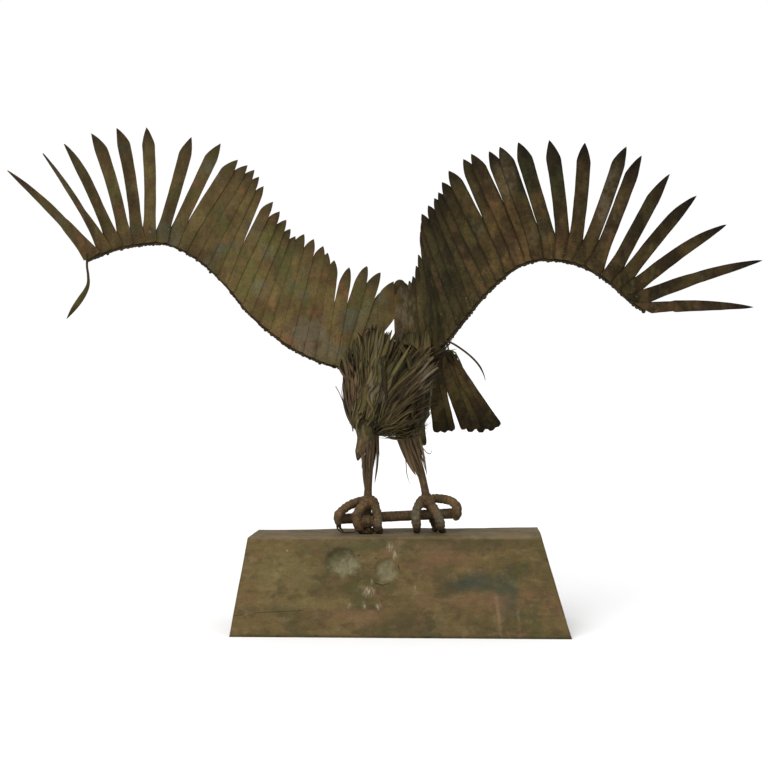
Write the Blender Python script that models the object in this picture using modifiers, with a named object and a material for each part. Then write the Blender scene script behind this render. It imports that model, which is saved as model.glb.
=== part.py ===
"""Wrought iron eagle with raised wings, standing on a tapered sheet-iron plinth.

Metres, +Z up. The eagle looks along -Y and a little to -X. Every size below is measured
from the middle of the plinth's underside; the whole work is then shifted so that the
origin is at the bottom centre of its bounding box.

The feathers are flat iron strips welded along two bent rods. Each wing is set out by four
smooth guides, read by feather number counted from the body: where on the rod a feather
stands, how far it leans outwards, how long it is and how far it is twisted.
"""

import math

import bmesh
import bpy
from mathutils import Matrix, Vector

# The whole work
WORK_NAME = "wrought_iron_eagle"
BOX_CENTRE = Vector((-0.067, 0.0075, 0.0))

# Plinth: a hollow box of sheet iron, open underneath
PLINTH_HALF_LENGTH = 0.411
PLINTH_HALF_DEPTH = 0.131
PLINTH_TOP_LEFT = -0.373
PLINTH_TOP_RIGHT = 0.343
PLINTH_TOP_HALF_DEPTH = 0.079
PLINTH_HEIGHT_LEFT = 0.2325
PLINTH_HEIGHT_RIGHT = 0.2395
PLINTH_WALL = 0.003
PLINTH_EDGE_RADIUS = 0.006

# Iron stock
STRIP_WIDTH = 0.032
STRIP_THICKNESS = 0.003
ROD_RADIUS = 0.0043
ROD_TO_FEATHER = 0.0026
TALON_RADIUS = 0.0105
TALON_ROOT_RADIUS = 0.0075
TALON_TIP_RADIUS = 0.0065
BAR_RADIUS = 0.0125

# Feather form
POINT_LENGTH = 0.046
TIP_BREADTH = 0.84
LOUVRE_STEP = 0.0040
GROUP_SHIFT = 0.0018

# Perch bar
BAR_LEFT = Vector((-0.155, 0.0, 0.2697))
BAR_RIGHT = Vector((0.132, 0.0, 0.2838))

# Left wing, root to tip
LEFT_ROD = [
    (-0.131, 0.045, 0.647),
    (-0.197, 0.030, 0.663),
    (-0.279, 0.005, 0.705),
    (-0.3705, -0.018, 0.7825),
    (-0.4345, -0.025, 0.8605),
    (-0.506, -0.025, 0.926),
    (-0.5845, -0.020, 0.964),
    (-0.651, -0.010, 0.965),
    (-0.726, 0.000, 0.952),
    (-0.794, 0.010, 0.930),
]
LEFT_COUNT = 27
LEFT_PLACE = [
    (1, 0.004), (3, 0.037), (5, 0.080), (9, 0.215), (13, 0.338), (16, 0.437), (19, 0.536),
    (20, 0.561), (21, 0.589), (22, 0.618), (25, 0.709), (26, 0.736), (27, 0.773),
]
LEFT_LEAN = [
    (1, -27.8), (3, -18), (5, -9.2), (7, -16.3), (9, -18), (11, -21.5), (13, -24.8),
    (15, -25.1), (17, -30.2), (19, -34.3), (20, -27.2), (21, -17.7), (22, 1.3), (23, 9.6),
    (24, 16.5), (25, 26.6), (26, 33.5), (27, 45.8),
]
LEFT_LENGTH = [
    (1, 0.249), (3, 0.265), (5, 0.257), (7, 0.271), (9, 0.263), (10, 0.239), (12, 0.244),
    (14, 0.241), (15, 0.256), (17, 0.263), (19, 0.264), (20, 0.281), (21, 0.273),
    (22, 0.289), (23, 0.299), (26, 0.310), (27, 0.330),
]
LEFT_WIDTH = [(1, 0.040), (3, 0.034), (7, 0.035), (10, 0.033), (20, STRIP_WIDTH), (27, STRIP_WIDTH)]
LEFT_TWIST = [(1, 0), (24, 0), (25, 34), (26, 55), (27, 50)]

# Right wing, root to tip: the root runs forwards before the wing turns outwards
RIGHT_ROD = [
    (-0.002, 0.140, 0.680),
    (0.042, 0.080, 0.684),
    (0.085, 0.020, 0.692),
    (0.117, -0.040, 0.708),
    (0.158, -0.070, 0.7575),
    (0.214, -0.090, 0.824),
    (0.289, -0.100, 0.8865),
    (0.343, -0.100, 0.903),
    (0.416, -0.100, 0.896),
    (0.491, -0.090, 0.861),
    (0.5605, -0.080, 0.801),
    (0.600, -0.070, 0.775),
]
RIGHT_COUNT = 30
RIGHT_PLACE = [
    (1, 0.010), (6, 0.149), (8, 0.217), (10, 0.266), (15, 0.411), (19, 0.522),
    (20, 0.540), (21, 0.571), (24, 0.634), (25, 0.667), (26, 0.711), (28, 0.762),
    (29, 0.785), (30, 0.813),
]
RIGHT_LEAN = [
    (1, -3.3), (2, -2), (4, -6.1), (6, -13.4), (7, -19.5), (9, -18.2), (11, -22.9),
    (13, -22.9), (15, -27.2), (16, -27.6), (17, -24.9), (18, -25.7), (20, -19.1),
    (21, -16.1), (22, -6), (23, 6.3), (24, 21.9), (25, 23.6), (26, 30.2), (27, 40.9),
    (28, 55.5), (29, 72.5), (30, 89.2),
]
RIGHT_LENGTH = [
    (1, 0.198), (2, 0.186), (4, 0.198), (5, 0.223), (6, 0.251), (7, 0.288), (8, 0.298),
    (10, 0.283), (11, 0.288), (13, 0.277), (14, 0.272), (16, 0.288), (18, 0.290),
    (19, 0.281), (21, 0.292), (23, 0.285), (24, 0.303), (26, 0.295), (28, 0.302),
    (29, 0.340), (30, 0.292),
]
RIGHT_WIDTH = [(1, 0.036), (3, STRIP_WIDTH), (26, STRIP_WIDTH), (28, 0.027), (30, 0.024)]
RIGHT_TWIST = [(1, 0), (26, 0), (28, 15), (30, 30)]

# Feathers that overlap all the way and touch are one node: group sizes from the body out
LEFT_GROUPS = [3, 3, 3, 3, 3, 4]
RIGHT_GROUPS = [3, 4, 3, 3, 3, 4]

# The strip that hangs, twisted, from the left wing's end: (point, width, turn in degrees)
END_FEATHER = [
    ((-0.799, 0.012, 0.921), 0.004, 80),
    ((-0.795, 0.010, 0.898), 0.006, 80),
    ((-0.802, 0.008, 0.853), 0.015, 50),
    ((-0.824, 0.006, 0.812), 0.014, 30),
    ((-0.851, 0.004, 0.779), 0.001, 30),
]

# Body bundle: (height, centre x, centre y, half width, half depth)
BODY_SECTIONS = [
    (0.478, -0.040, -0.010, 0.064, 0.058),
    (0.510, -0.042, -0.012, 0.087, 0.078),
    (0.550, -0.033, -0.008, 0.098, 0.091),
    (0.600, -0.025, 0.000, 0.102, 0.099),
    (0.635, -0.027, 0.002, 0.096, 0.092),
    (0.660, -0.040, -0.010, 0.083, 0.073),
    (0.690, -0.055, -0.025, 0.062, 0.048),
    (0.715, -0.065, -0.030, 0.034, 0.028),
]
BODY_RIDGES = 12
BODY_RIDGE_DEPTH = 0.045

# Head and hooked beak: (centre, half width, half height across the path)
HEAD_SECTIONS = [
    ((-0.062, -0.1075, 0.580), 0.018, 0.007),
    ((-0.066, -0.1135, 0.555), 0.020, 0.011),
    ((-0.069, -0.122, 0.530), 0.020, 0.015),
    ((-0.075, -0.137, 0.508), 0.024, 0.023),
    ((-0.080, -0.150, 0.484), 0.023, 0.026),
    ((-0.084, -0.162, 0.465), 0.014, 0.017),
    ((-0.088, -0.168, 0.449), 0.010, 0.011),
    ((-0.091, -0.166, 0.436), 0.005, 0.006),
    ((-0.092, -0.160, 0.428), 0.0015, 0.0015),
]

# Legs: (point, radius), top to ankle
LEFT_LEG = [
    ((-0.074, -0.011, 0.4770), 0.020),
    ((-0.074, -0.011, 0.450), 0.016),
    ((-0.080, -0.003, 0.390), 0.0105),
    ((-0.082, 0.000, 0.345), 0.0095),
    ((-0.083, 0.000, 0.3295), 0.0125),
]
RIGHT_LEG = [
    ((0.024, -0.005, 0.4770), 0.024),
    ((0.026, -0.004, 0.455), 0.022),
    ((0.037, -0.002, 0.425), 0.017),
    ((0.049, 0.000, 0.390), 0.011),
    ((0.059, 0.000, 0.350), 0.0098),
    ((0.063, 0.000, 0.3320), 0.0125),
]

# Talons: points from the ankle to the tip
TALONS = {
    "left_foot_outer_talon": [
        (-0.100, 0.000, 0.316), (-0.122, -0.010, 0.308), (-0.143, -0.022, 0.295),
        (-0.154, -0.030, 0.283), (-0.155, -0.030, 0.266), (-0.150, -0.016, 0.248),
        (-0.146, -0.001, 0.2411),
    ],
    "left_foot_front_talon": [
        (-0.083, -0.018, 0.316), (-0.098, -0.034, 0.302), (-0.108, -0.038, 0.281),
        (-0.106, -0.034, 0.261), (-0.102, -0.021, 0.248), (-0.099, -0.006, 0.2416),
    ],
    "left_foot_inner_talon": [
        (-0.066, -0.005, 0.316), (-0.057, -0.024, 0.301), (-0.050, -0.032, 0.279),
        (-0.052, -0.029, 0.261), (-0.054, -0.018, 0.249), (-0.056, -0.003, 0.2420),
    ],
    "left_foot_rear_talon": [
        (-0.083, 0.018, 0.317), (-0.086, 0.032, 0.300), (-0.089, 0.036, 0.278),
        (-0.092, 0.030, 0.257), (-0.094, 0.019, 0.2390),
    ],
    "right_foot_inner_talon": [
        (0.052, -0.008, 0.319), (0.043, -0.028, 0.308), (0.035, -0.034, 0.289),
        (0.035, -0.032, 0.270), (0.036, -0.020, 0.253), (0.037, -0.006, 0.2418),
    ],
    "right_foot_front_talon": [
        (0.069, -0.017, 0.317), (0.088, -0.032, 0.301), (0.100, -0.036, 0.281),
        (0.103, -0.032, 0.266), (0.103, -0.020, 0.253), (0.104, -0.005, 0.2426),
    ],
    "right_foot_outer_talon": [
        (0.080, 0.003, 0.320), (0.101, -0.008, 0.321), (0.125, -0.020, 0.316),
        (0.140, -0.030, 0.302), (0.140, -0.031, 0.284), (0.133, -0.024, 0.270),
    ],
    "right_foot_rear_talon": [
        (0.062, 0.018, 0.319), (0.068, 0.032, 0.305), (0.075, 0.036, 0.285),
        (0.080, 0.031, 0.264), (0.083, 0.019, 0.2405),
    ],
}

# Tail feathers: (top, bottom, top width, bottom width)
TAIL_FEATHERS = [
    ((0.038, 0.106, 0.610), (0.048, 0.136, 0.446), 0.024, 0.027),
    ((0.068, 0.078, 0.682), (0.099, 0.160, 0.481), 0.032, 0.042),
    ((0.080, 0.084, 0.684), (0.117, 0.166, 0.481), 0.032, 0.040),
    ((0.094, 0.090, 0.685), (0.168, 0.172, 0.489), 0.030, 0.036),
    ((0.099, 0.096, 0.686), (0.188, 0.178, 0.484), 0.030, 0.042),
    ((0.107, 0.102, 0.686), (0.215, 0.184, 0.483), 0.030, 0.040),
    ((0.115, 0.108, 0.686), (0.242, 0.190, 0.488), 0.030, 0.038),
]
TAIL_TIP_DROP = 0.010

# Finishes: base colour, metallic, roughness
FINISHES = {
    "rusted_iron_strip": ((0.135, 0.098, 0.048, 1), 0.35, 0.72),
    "dark_iron_rod": ((0.075, 0.055, 0.030, 1), 0.40, 0.70),
    "forged_iron_bar": ((0.150, 0.105, 0.060, 1), 0.35, 0.75),
    "plinth_sheet": ((0.160, 0.125, 0.070, 1), 0.25, 0.70),
}


def cleared_scene():
    for old in list(bpy.data.objects):
        bpy.data.objects.remove(old, do_unlink=True)


def collection(name):
    made = bpy.data.collections.new(name)
    bpy.context.scene.collection.children.link(made)
    return made


def finish(name):
    colour, metallic, roughness = FINISHES[name]
    material = bpy.data.materials.get(name) or bpy.data.materials.new(name)
    material.use_nodes = True
    shader = material.node_tree.nodes["Principled BSDF"]
    shader.inputs["Base Color"].default_value = colour
    shader.inputs["Metallic"].default_value = metallic
    shader.inputs["Roughness"].default_value = roughness
    return material


def placed(name, data, group, finish_name, parent):
    part = bpy.data.objects.new(name, data)
    part.data.materials.append(finish(finish_name))
    part.parent = parent
    group.objects.link(part)
    return part


def eased(guide, key):
    """The value at key on the smooth curve through a guide's (key, value) pairs."""
    keys = [pair[0] for pair in guide]
    values = [pair[1] for pair in guide]
    key = min(max(key, keys[0]), keys[-1])
    i = max(n for n in range(len(keys) - 1) if keys[n] <= key)
    span = keys[i + 1] - keys[i]
    before, after = max(i - 1, 0), min(i + 2, len(keys) - 1)
    slope_in = (values[i + 1] - values[before]) / (keys[i + 1] - keys[before])
    slope_out = (values[after] - values[i]) / (keys[after] - keys[i])
    t = (key - keys[i]) / span
    start = values[i] * (1 - t) ** 2 * (1 + 2 * t) + slope_in * span * t * (1 - t) ** 2
    end = values[i + 1] * t**2 * (3 - 2 * t) - slope_out * span * t**2 * (1 - t)
    return start + end


class Route:
    """A smooth line through points, read by the distance along it."""

    def __init__(self, points, samples=240):
        spots = [Vector(p) for p in points]
        self.guide = [(0.0, spots[0])]
        for last, spot in zip(spots, spots[1:]):
            self.guide.append((self.guide[-1][0] + (spot - last).length, spot))
        end = self.guide[-1][0]
        line = [eased(self.guide, end * n / samples) for n in range(samples + 1)]
        self.table = [(0.0, 0.0)]
        for n in range(samples):
            step = (line[n + 1] - line[n]).length
            self.table.append((self.table[-1][0] + step, end * (n + 1) / samples))
        self.length = self.table[-1][0]

    def key(self, distance):
        distance = min(max(distance, 0.0), self.length)
        for (low, key_low), (high, key_high) in zip(self.table, self.table[1:]):
            if distance <= high:
                return key_low + (key_high - key_low) * (distance - low) / (high - low)
        return self.table[-1][1]

    def at(self, distance):
        return eased(self.guide, self.key(distance))

    def along(self, distance):
        ahead = self.at(distance + 0.002)
        behind = self.at(distance - 0.002)
        return (ahead - behind).normalized()

    def past(self, distance):
        """As at, but running straight on past either end."""
        held = min(max(distance, 0.0), self.length)
        return self.at(held) + self.along(held) * (distance - held)

    def spots(self, count):
        return [self.at(self.length * n / (count - 1)) for n in range(count)]


def tube(name, points, radii, group, finish_name, parent, count):
    """A round bar along a smooth route, with one radius for each of its guide points."""
    route = Route(points)
    radius_guide = [(key, radius) for (key, _), radius in zip(route.guide, radii)]
    curve = bpy.data.curves.new(name, "CURVE")
    curve.dimensions = "3D"
    curve.bevel_depth = 1.0
    curve.bevel_resolution = 2
    curve.use_fill_caps = True
    line = curve.splines.new("POLY")
    line.points.add(count - 1)
    for n in range(count):
        distance = route.length * n / (count - 1)
        line.points[n].co = (*route.at(distance), 1)
        line.points[n].radius = eased(radius_guide, route.key(distance))
    return placed(name, curve, group, finish_name, parent)


def mesh_of_rows(name, rows):
    """An open strip: rows are (left, right) pairs, and the last row may be one point."""
    form = bmesh.new()
    made = [[form.verts.new(point) for point in row] for row in rows]
    for low, high in zip(made, made[1:]):
        form.faces.new([*reversed(low), *high])
    mesh = bpy.data.meshes.new(name)
    form.to_mesh(mesh)
    form.free()
    return mesh


def thickened(part, thickness):
    shell = part.modifiers.new("thickness", "SOLIDIFY")
    shell.thickness = thickness
    shell.offset = 0
    return part


def lofted(name, rings):
    """A closed solid through rings of points, capped flat at both ends."""
    form = bmesh.new()
    made = [[form.verts.new(point) for point in ring] for ring in rings]
    for low, high in zip(made, made[1:]):
        for n in range(len(low)):
            m = (n + 1) % len(low)
            form.faces.new([low[n], low[m], high[m], high[n]])
    form.faces.new(list(reversed(made[0])))
    form.faces.new(made[-1])
    bmesh.ops.recalc_face_normals(form, faces=form.faces)
    mesh = bpy.data.meshes.new(name)
    form.to_mesh(mesh)
    form.free()
    return mesh


def feather_rows(route, side, place, lean, length, width, twist, pitch, shift, round_tip):
    """The edges of one feather, from the rod to its point.

    side is 1 on the right wing and -1 on the left. A feather is tilted about its own
    length like a louvre, so that it laps in front of the next one towards the body.
    """
    base = route.at(place)
    along = route.along(place)
    outward = Vector((along.x, along.y, 0)).normalized()
    up = Vector((0, 0, math.cos(lean))) + outward * math.sin(lean)
    facing = up.cross(outward).normalized() * -side
    across = up.cross(facing).normalized()
    across *= 1 if across.dot(outward) > 0 else -1
    slope = max(abs(along.cross(up).length), 0.5)
    tilt = math.atan(LOUVRE_STEP / (pitch * slope))
    above = (up - along * up.dot(along)).normalized() * (ROD_RADIUS + ROD_TO_FEATHER)
    lift = facing * shift
    half = width / 2
    rows = []
    reach = half / slope
    lag = half * math.tan(tilt)
    inner = route.past(place - reach) + above + lift + facing * lag
    outer = route.past(place + reach) + above + lift - facing * lag
    rows.append((inner, outer))
    shoulder = 1 - POINT_LENGTH / length
    if round_tip:
        profile = [(0.3, 1.0), (0.6, 1.0), (0.85, 0.98), (0.95, 0.72), (0.99, 0.30)]
    else:
        halfway = shoulder + (1 - shoulder) * 0.55
        profile = [(0.3, 1.0), (0.65, 0.94), (shoulder, TIP_BREADTH), (halfway, TIP_BREADTH * 0.64)]
    for part, breadth in profile:
        turn = tilt + twist * min(part / 0.35, 1)
        edge = across * math.cos(turn) - facing * math.sin(turn)
        middle = base + up * length * part + lift
        rows.append((middle - edge * half * breadth, middle + edge * half * breadth))
    rows.append((base + up * length + lift,))
    return rows


class Wing:
    def __init__(self, name, side, rod, count, place, lean, length, width, twist, rounded):
        self.name = name
        self.side = side
        self.route = Route(rod)
        self.count = count
        self.place = place
        self.lean = lean
        self.length = length
        self.width = width
        self.twist = twist
        self.rounded = rounded

    def rows(self, number, shift):
        """Edges of feather `number`; shift moves it forwards to touch its outer neighbour."""
        place = eased(self.place, number)
        inner = eased(self.place, max(number - 1, 1))
        outer = eased(self.place, min(number + 1, self.count))
        steps = min(number + 1, self.count) - max(number - 1, 1)
        return feather_rows(
            self.route,
            self.side,
            place,
            math.radians(eased(self.lean, number)),
            eased(self.length, number),
            eased(self.width, number),
            math.radians(eased(self.twist, number)),
            (outer - inner) / steps,
            shift,
            number in self.rounded,
        )


def make_feather(wing, number, name, group, parent, shift=0.0):
    mesh = mesh_of_rows(name, wing.rows(number, shift))
    return thickened(placed(name, mesh, group, "rusted_iron_strip", parent), STRIP_THICKNESS)


def make_wing(wing, groups, group, cutters, parent):
    tube(
        f"{wing.name}_wing_rod",
        wing.route.spots(12),
        [ROD_RADIUS] * 12,
        group,
        "dark_iron_rod",
        parent,
        30,
    )
    number = 1
    for n, size in enumerate(groups):
        letter = "abcdef"[n]
        members = []
        for step in range(size):
            shift = (size - 1 - step) * GROUP_SHIFT
            name = f"{wing.name}_inner_feathers_{letter}"
            if step:
                name += f"_part_{step + 1}"
            home = cutters if step else group
            members.append(make_feather(wing, number + step, name, home, parent, shift))
        for other in members[1:]:
            other.hide_render = True
            other.display_type = "WIRE"
            join = members[0].modifiers.new("join", "BOOLEAN")
            join.operation = "UNION"
            join.object = other
        number += size
    while number <= wing.count:
        make_feather(wing, number, f"{wing.name}_outer_feather_{number}", group, parent)
        number += 1


def make_end_feather(group, parent):
    rows = []
    last = len(END_FEATHER) - 1
    for n, (point, width, turn) in enumerate(END_FEATHER):
        angle = math.radians(turn)
        edge = Vector((math.cos(angle), -math.sin(angle), 0.15)) * (width / 2)
        rows.append((Vector(point) - edge, Vector(point) + edge) if n < last else (Vector(point),))
    mesh = mesh_of_rows("left_end_feather", rows)
    thickened(placed("left_end_feather", mesh, group, "rusted_iron_strip", parent), 0.002)


def make_tail(group, parent):
    """Straight strips that widen downwards and end in a shallow scallop."""
    for n, (top, bottom, top_width, bottom_width) in enumerate(TAIL_FEATHERS):
        top, bottom = Vector(top), Vector(bottom)
        down = (bottom - top).normalized()
        across = Vector((-down.z, 0, down.x)).normalized()
        across.y = across.z * down.y / down.z
        rows = []
        for part in (0.0, 0.33, 0.66, 1.0):
            half = (top_width + (bottom_width - top_width) * part) / 2
            spot = top.lerp(bottom - down * TAIL_TIP_DROP, part)
            rows.append((spot - across * half, spot + across * half))
        tip_half = bottom_width * 0.32
        rows.append((bottom - across * tip_half, bottom + across * tip_half))
        mesh = mesh_of_rows(f"tail_feather_{n + 1}", rows)
        part = placed(f"tail_feather_{n + 1}", mesh, group, "rusted_iron_strip", parent)
        thickened(part, STRIP_THICKNESS)


def make_body(group, parent):
    """The closed outer form of the bundle of strips, ridged where the strips gather."""
    steps = BODY_RIDGES * 2
    rings = []
    for height, x, y, half_width, half_depth in BODY_SECTIONS:
        ring = []
        for n in range(steps):
            angle = 2 * math.pi * n / steps
            grow = 1 + BODY_RIDGE_DEPTH * (1 if n % 2 else -1)
            spot_x = x + half_width * grow * math.cos(angle)
            spot_y = y + half_depth * grow * math.sin(angle)
            ring.append((spot_x, spot_y, height))
        rings.append(ring)
    placed("body_feather_bundle", lofted("body", rings), group, "rusted_iron_strip", parent)


def make_head(group, parent):
    """A forged head that tapers into a beak hooked down and back."""
    centres = [Vector(section[0]) for section in HEAD_SECTIONS]
    rings = []
    for n, (_, half_width, half_height) in enumerate(HEAD_SECTIONS):
        ahead = centres[min(n + 1, len(centres) - 1)]
        behind = centres[max(n - 1, 0)]
        forward = (ahead - behind).normalized()
        side = forward.cross(Vector((0, -1, 0))).normalized()
        upper = side.cross(forward).normalized()
        ring = []
        for m in range(12):
            angle = 2 * math.pi * m / 12
            offset = side * half_width * math.cos(angle) + upper * half_height * math.sin(angle)
            ring.append(centres[n] + offset)
        rings.append(ring)
    placed("head_with_beak", lofted("head", rings), group, "forged_iron_bar", parent)


def box_corners(inset, base):
    """The plinth's eight corners, moved inwards by inset, with its foot at base."""
    corners = []
    for x in (-1, 1):
        for y in (-1, 1):
            foot_x = x * (PLINTH_HALF_LENGTH - inset)
            foot = Vector((foot_x, y * (PLINTH_HALF_DEPTH - inset), 0))
            top_x = PLINTH_TOP_LEFT + inset if x < 0 else PLINTH_TOP_RIGHT - inset
            top_z = PLINTH_HEIGHT_LEFT if x < 0 else PLINTH_HEIGHT_RIGHT
            top = Vector((top_x, y * (PLINTH_TOP_HALF_DEPTH - inset), top_z - inset))
            foot = foot + (foot - top) * (-base / top_z)
            corners.append((foot, top))
    return corners


def tapered_box(name, inset, base):
    form = bmesh.new()
    bmesh.ops.create_cube(form, size=2)
    for vert in form.verts:
        n = (2 if vert.co.x > 0 else 0) + (1 if vert.co.y > 0 else 0)
        foot, top = box_corners(inset, base)[n]
        vert.co = top if vert.co.z > 0 else foot
    mesh = bpy.data.meshes.new(name)
    form.to_mesh(mesh)
    form.free()
    return mesh


def make_plinth(group, cutters, parent):
    """A tapered box with softened edges, hollowed from below to its sheet thickness."""
    plinth = placed("plinth", tapered_box("plinth", 0, 0), group, "plinth_sheet", parent)
    edges = plinth.modifiers.new("soft_edges", "BEVEL")
    edges.width = PLINTH_EDGE_RADIUS
    edges.segments = 2
    edges.limit_method = "WEIGHT"
    weights = plinth.data.attributes.new("bevel_weight_edge", "FLOAT", "EDGE")
    for edge in plinth.data.edges:
        heights = [plinth.data.vertices[v].co.z for v in edge.vertices]
        weights.data[edge.index].value = 1.0 if max(heights) > 0.1 else 0.0
    hollow = tapered_box("plinth_hollow", PLINTH_WALL, -0.02)
    cutter = placed("plinth_hollow_cutter", hollow, cutters, "plinth_sheet", parent)
    cutter.hide_render = True
    cutter.display_type = "WIRE"
    cut = plinth.modifiers.new("hollow", "BOOLEAN")
    cut.operation = "DIFFERENCE"
    cut.object = cutter


def make_perch_bar(group, parent):
    line = BAR_RIGHT - BAR_LEFT
    bpy.ops.mesh.primitive_cylinder_add(vertices=16, radius=BAR_RADIUS, depth=line.length)
    bar = bpy.context.object
    bar.name = "perch_bar"
    bar.data.name = "perch_bar"
    for home in list(bar.users_collection):
        home.objects.unlink(bar)
    group.objects.link(bar)
    bar.data.materials.append(finish("forged_iron_bar"))
    bar.parent = parent
    bar.location = (BAR_LEFT + BAR_RIGHT) / 2
    bar.rotation_mode = "QUATERNION"
    bar.rotation_quaternion = line.to_track_quat("Z", "Y")


def make_legs(group, parent):
    for name, guide in (("left_leg", LEFT_LEG), ("right_leg", RIGHT_LEG)):
        points = [point for point, _ in guide]
        radii = [radius for _, radius in guide]
        tube(name, points, radii, group, "forged_iron_bar", parent, 10)


def make_talons(group, parent):
    for name, points in TALONS.items():
        radii = [TALON_RADIUS] * len(points)
        radii[0] = TALON_ROOT_RADIUS
        radii[-1] = TALON_TIP_RADIUS
        tube(name, points, radii, group, "forged_iron_bar", parent, 9)


def main():
    cleared_scene()
    group = collection(WORK_NAME)
    cutters = collection("cutters")
    parent = bpy.data.objects.new("middle_of_plinth_foot", None)
    parent.matrix_world = Matrix.Translation(-BOX_CENTRE)
    group.objects.link(parent)
    make_plinth(group, cutters, parent)
    make_perch_bar(group, parent)
    make_talons(group, parent)
    make_legs(group, parent)
    make_body(group, parent)
    make_head(group, parent)
    make_tail(group, parent)
    left = Wing(
        "left", -1, LEFT_ROD, LEFT_COUNT, LEFT_PLACE, LEFT_LEAN, LEFT_LENGTH, LEFT_WIDTH,
        LEFT_TWIST, rounded=[1],
    )
    right = Wing(
        "right", 1, RIGHT_ROD, RIGHT_COUNT, RIGHT_PLACE, RIGHT_LEAN, RIGHT_LENGTH,
        RIGHT_WIDTH, RIGHT_TWIST, rounded=[1],
    )
    make_wing(left, LEFT_GROUPS, group, cutters, parent)
    make_wing(right, RIGHT_GROUPS, group, cutters, parent)
    make_end_feather(group, parent)
    for part in group.objects:
        if part.type == "MESH" and part.name.startswith(("body", "head")):
            part.data.shade_smooth()
            part.data.set_sharp_from_angle(angle=math.radians(40))
    bpy.context.view_layer.update()


main()
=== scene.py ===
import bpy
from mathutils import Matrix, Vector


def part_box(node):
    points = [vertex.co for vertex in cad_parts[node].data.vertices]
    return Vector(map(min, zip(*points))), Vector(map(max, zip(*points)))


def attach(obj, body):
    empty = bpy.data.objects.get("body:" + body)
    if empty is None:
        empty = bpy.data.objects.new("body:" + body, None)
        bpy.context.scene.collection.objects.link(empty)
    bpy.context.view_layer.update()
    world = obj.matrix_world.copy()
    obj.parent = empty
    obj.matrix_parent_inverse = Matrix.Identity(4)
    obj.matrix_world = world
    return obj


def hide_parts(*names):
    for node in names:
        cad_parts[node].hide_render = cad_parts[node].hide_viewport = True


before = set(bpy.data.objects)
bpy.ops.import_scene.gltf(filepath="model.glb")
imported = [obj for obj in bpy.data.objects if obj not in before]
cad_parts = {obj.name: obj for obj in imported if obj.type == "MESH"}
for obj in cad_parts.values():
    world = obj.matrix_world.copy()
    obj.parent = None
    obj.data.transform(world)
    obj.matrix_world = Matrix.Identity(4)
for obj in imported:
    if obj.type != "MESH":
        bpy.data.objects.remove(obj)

"""The looks of a wrought iron eagle that stands with raised wings on a sheet-iron plinth.

Metres, +Z up. The eagle looks along -Y and a little to -X. Every place below is measured from
the middle of the plinth's underside, as in the construction, and FOOT moves it to the frame.
Left and right are the viewer's.
"""

import math
import random

import bmesh
import bpy
from mathutils import Matrix, Vector, noise

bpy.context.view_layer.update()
PLINTH_LOW, PLINTH_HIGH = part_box("plinth")
FOOT = Vector(((PLINTH_LOW.x + PLINTH_HIGH.x) / 2, (PLINTH_LOW.y + PLINTH_HIGH.y) / 2, PLINTH_LOW.z))

# Camera
CAMERA_PLACE = (0.164, -2.993, 0.630)
CAMERA_TURN, CAMERA_PITCH, CAMERA_ROLL = 3.9, -0.43, -0.45
CAMERA_LENS = 56.25

# Light: lamps by name, strength, breadth and turn in degrees; the even light from all round, and
# how much brighter the camera sees it; the floor's width and grey
LAMPS = (("key", 2.3, 50, (42, 0, -32)), ("fill", 0.7, 60, (58, 0, 40)))
EVEN_LIGHT, SEEN_LIGHT = 0.62, 0.40
FLOOR_WIDTH, FLOOR_GREY = 60, 0.90

# Iron stock
STRIP_WIDTH = 0.032
STRIP_THICKNESS = 0.003
ROD_RADIUS = 0.0043
POINT_LENGTH = 0.046
TIP_BREADTH = 0.84
# How far each feather stands over its neighbour, how far its root stands over the rod, and how
# far its middle lies in front of the rod's face, as a share of its thickness
LOUVRE_STEPS = {"left": 0.0026, "right": 0.0040}
ROOT_OVER_ROD = 0.0008
FRONT_SHARE = 0.7
# Where the rod runs nearly along a feather, these hold back its tilt and its root's slant.
LEAST_CROSSING, LEAST_LEVEL = 0.5, 0.45
# Corners closer than a seam are merged. Edges sharper than these degrees stay sharp.
SEAM = 0.00001
FLAT_EDGE, THIN_EDGE = 50, 60

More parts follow.
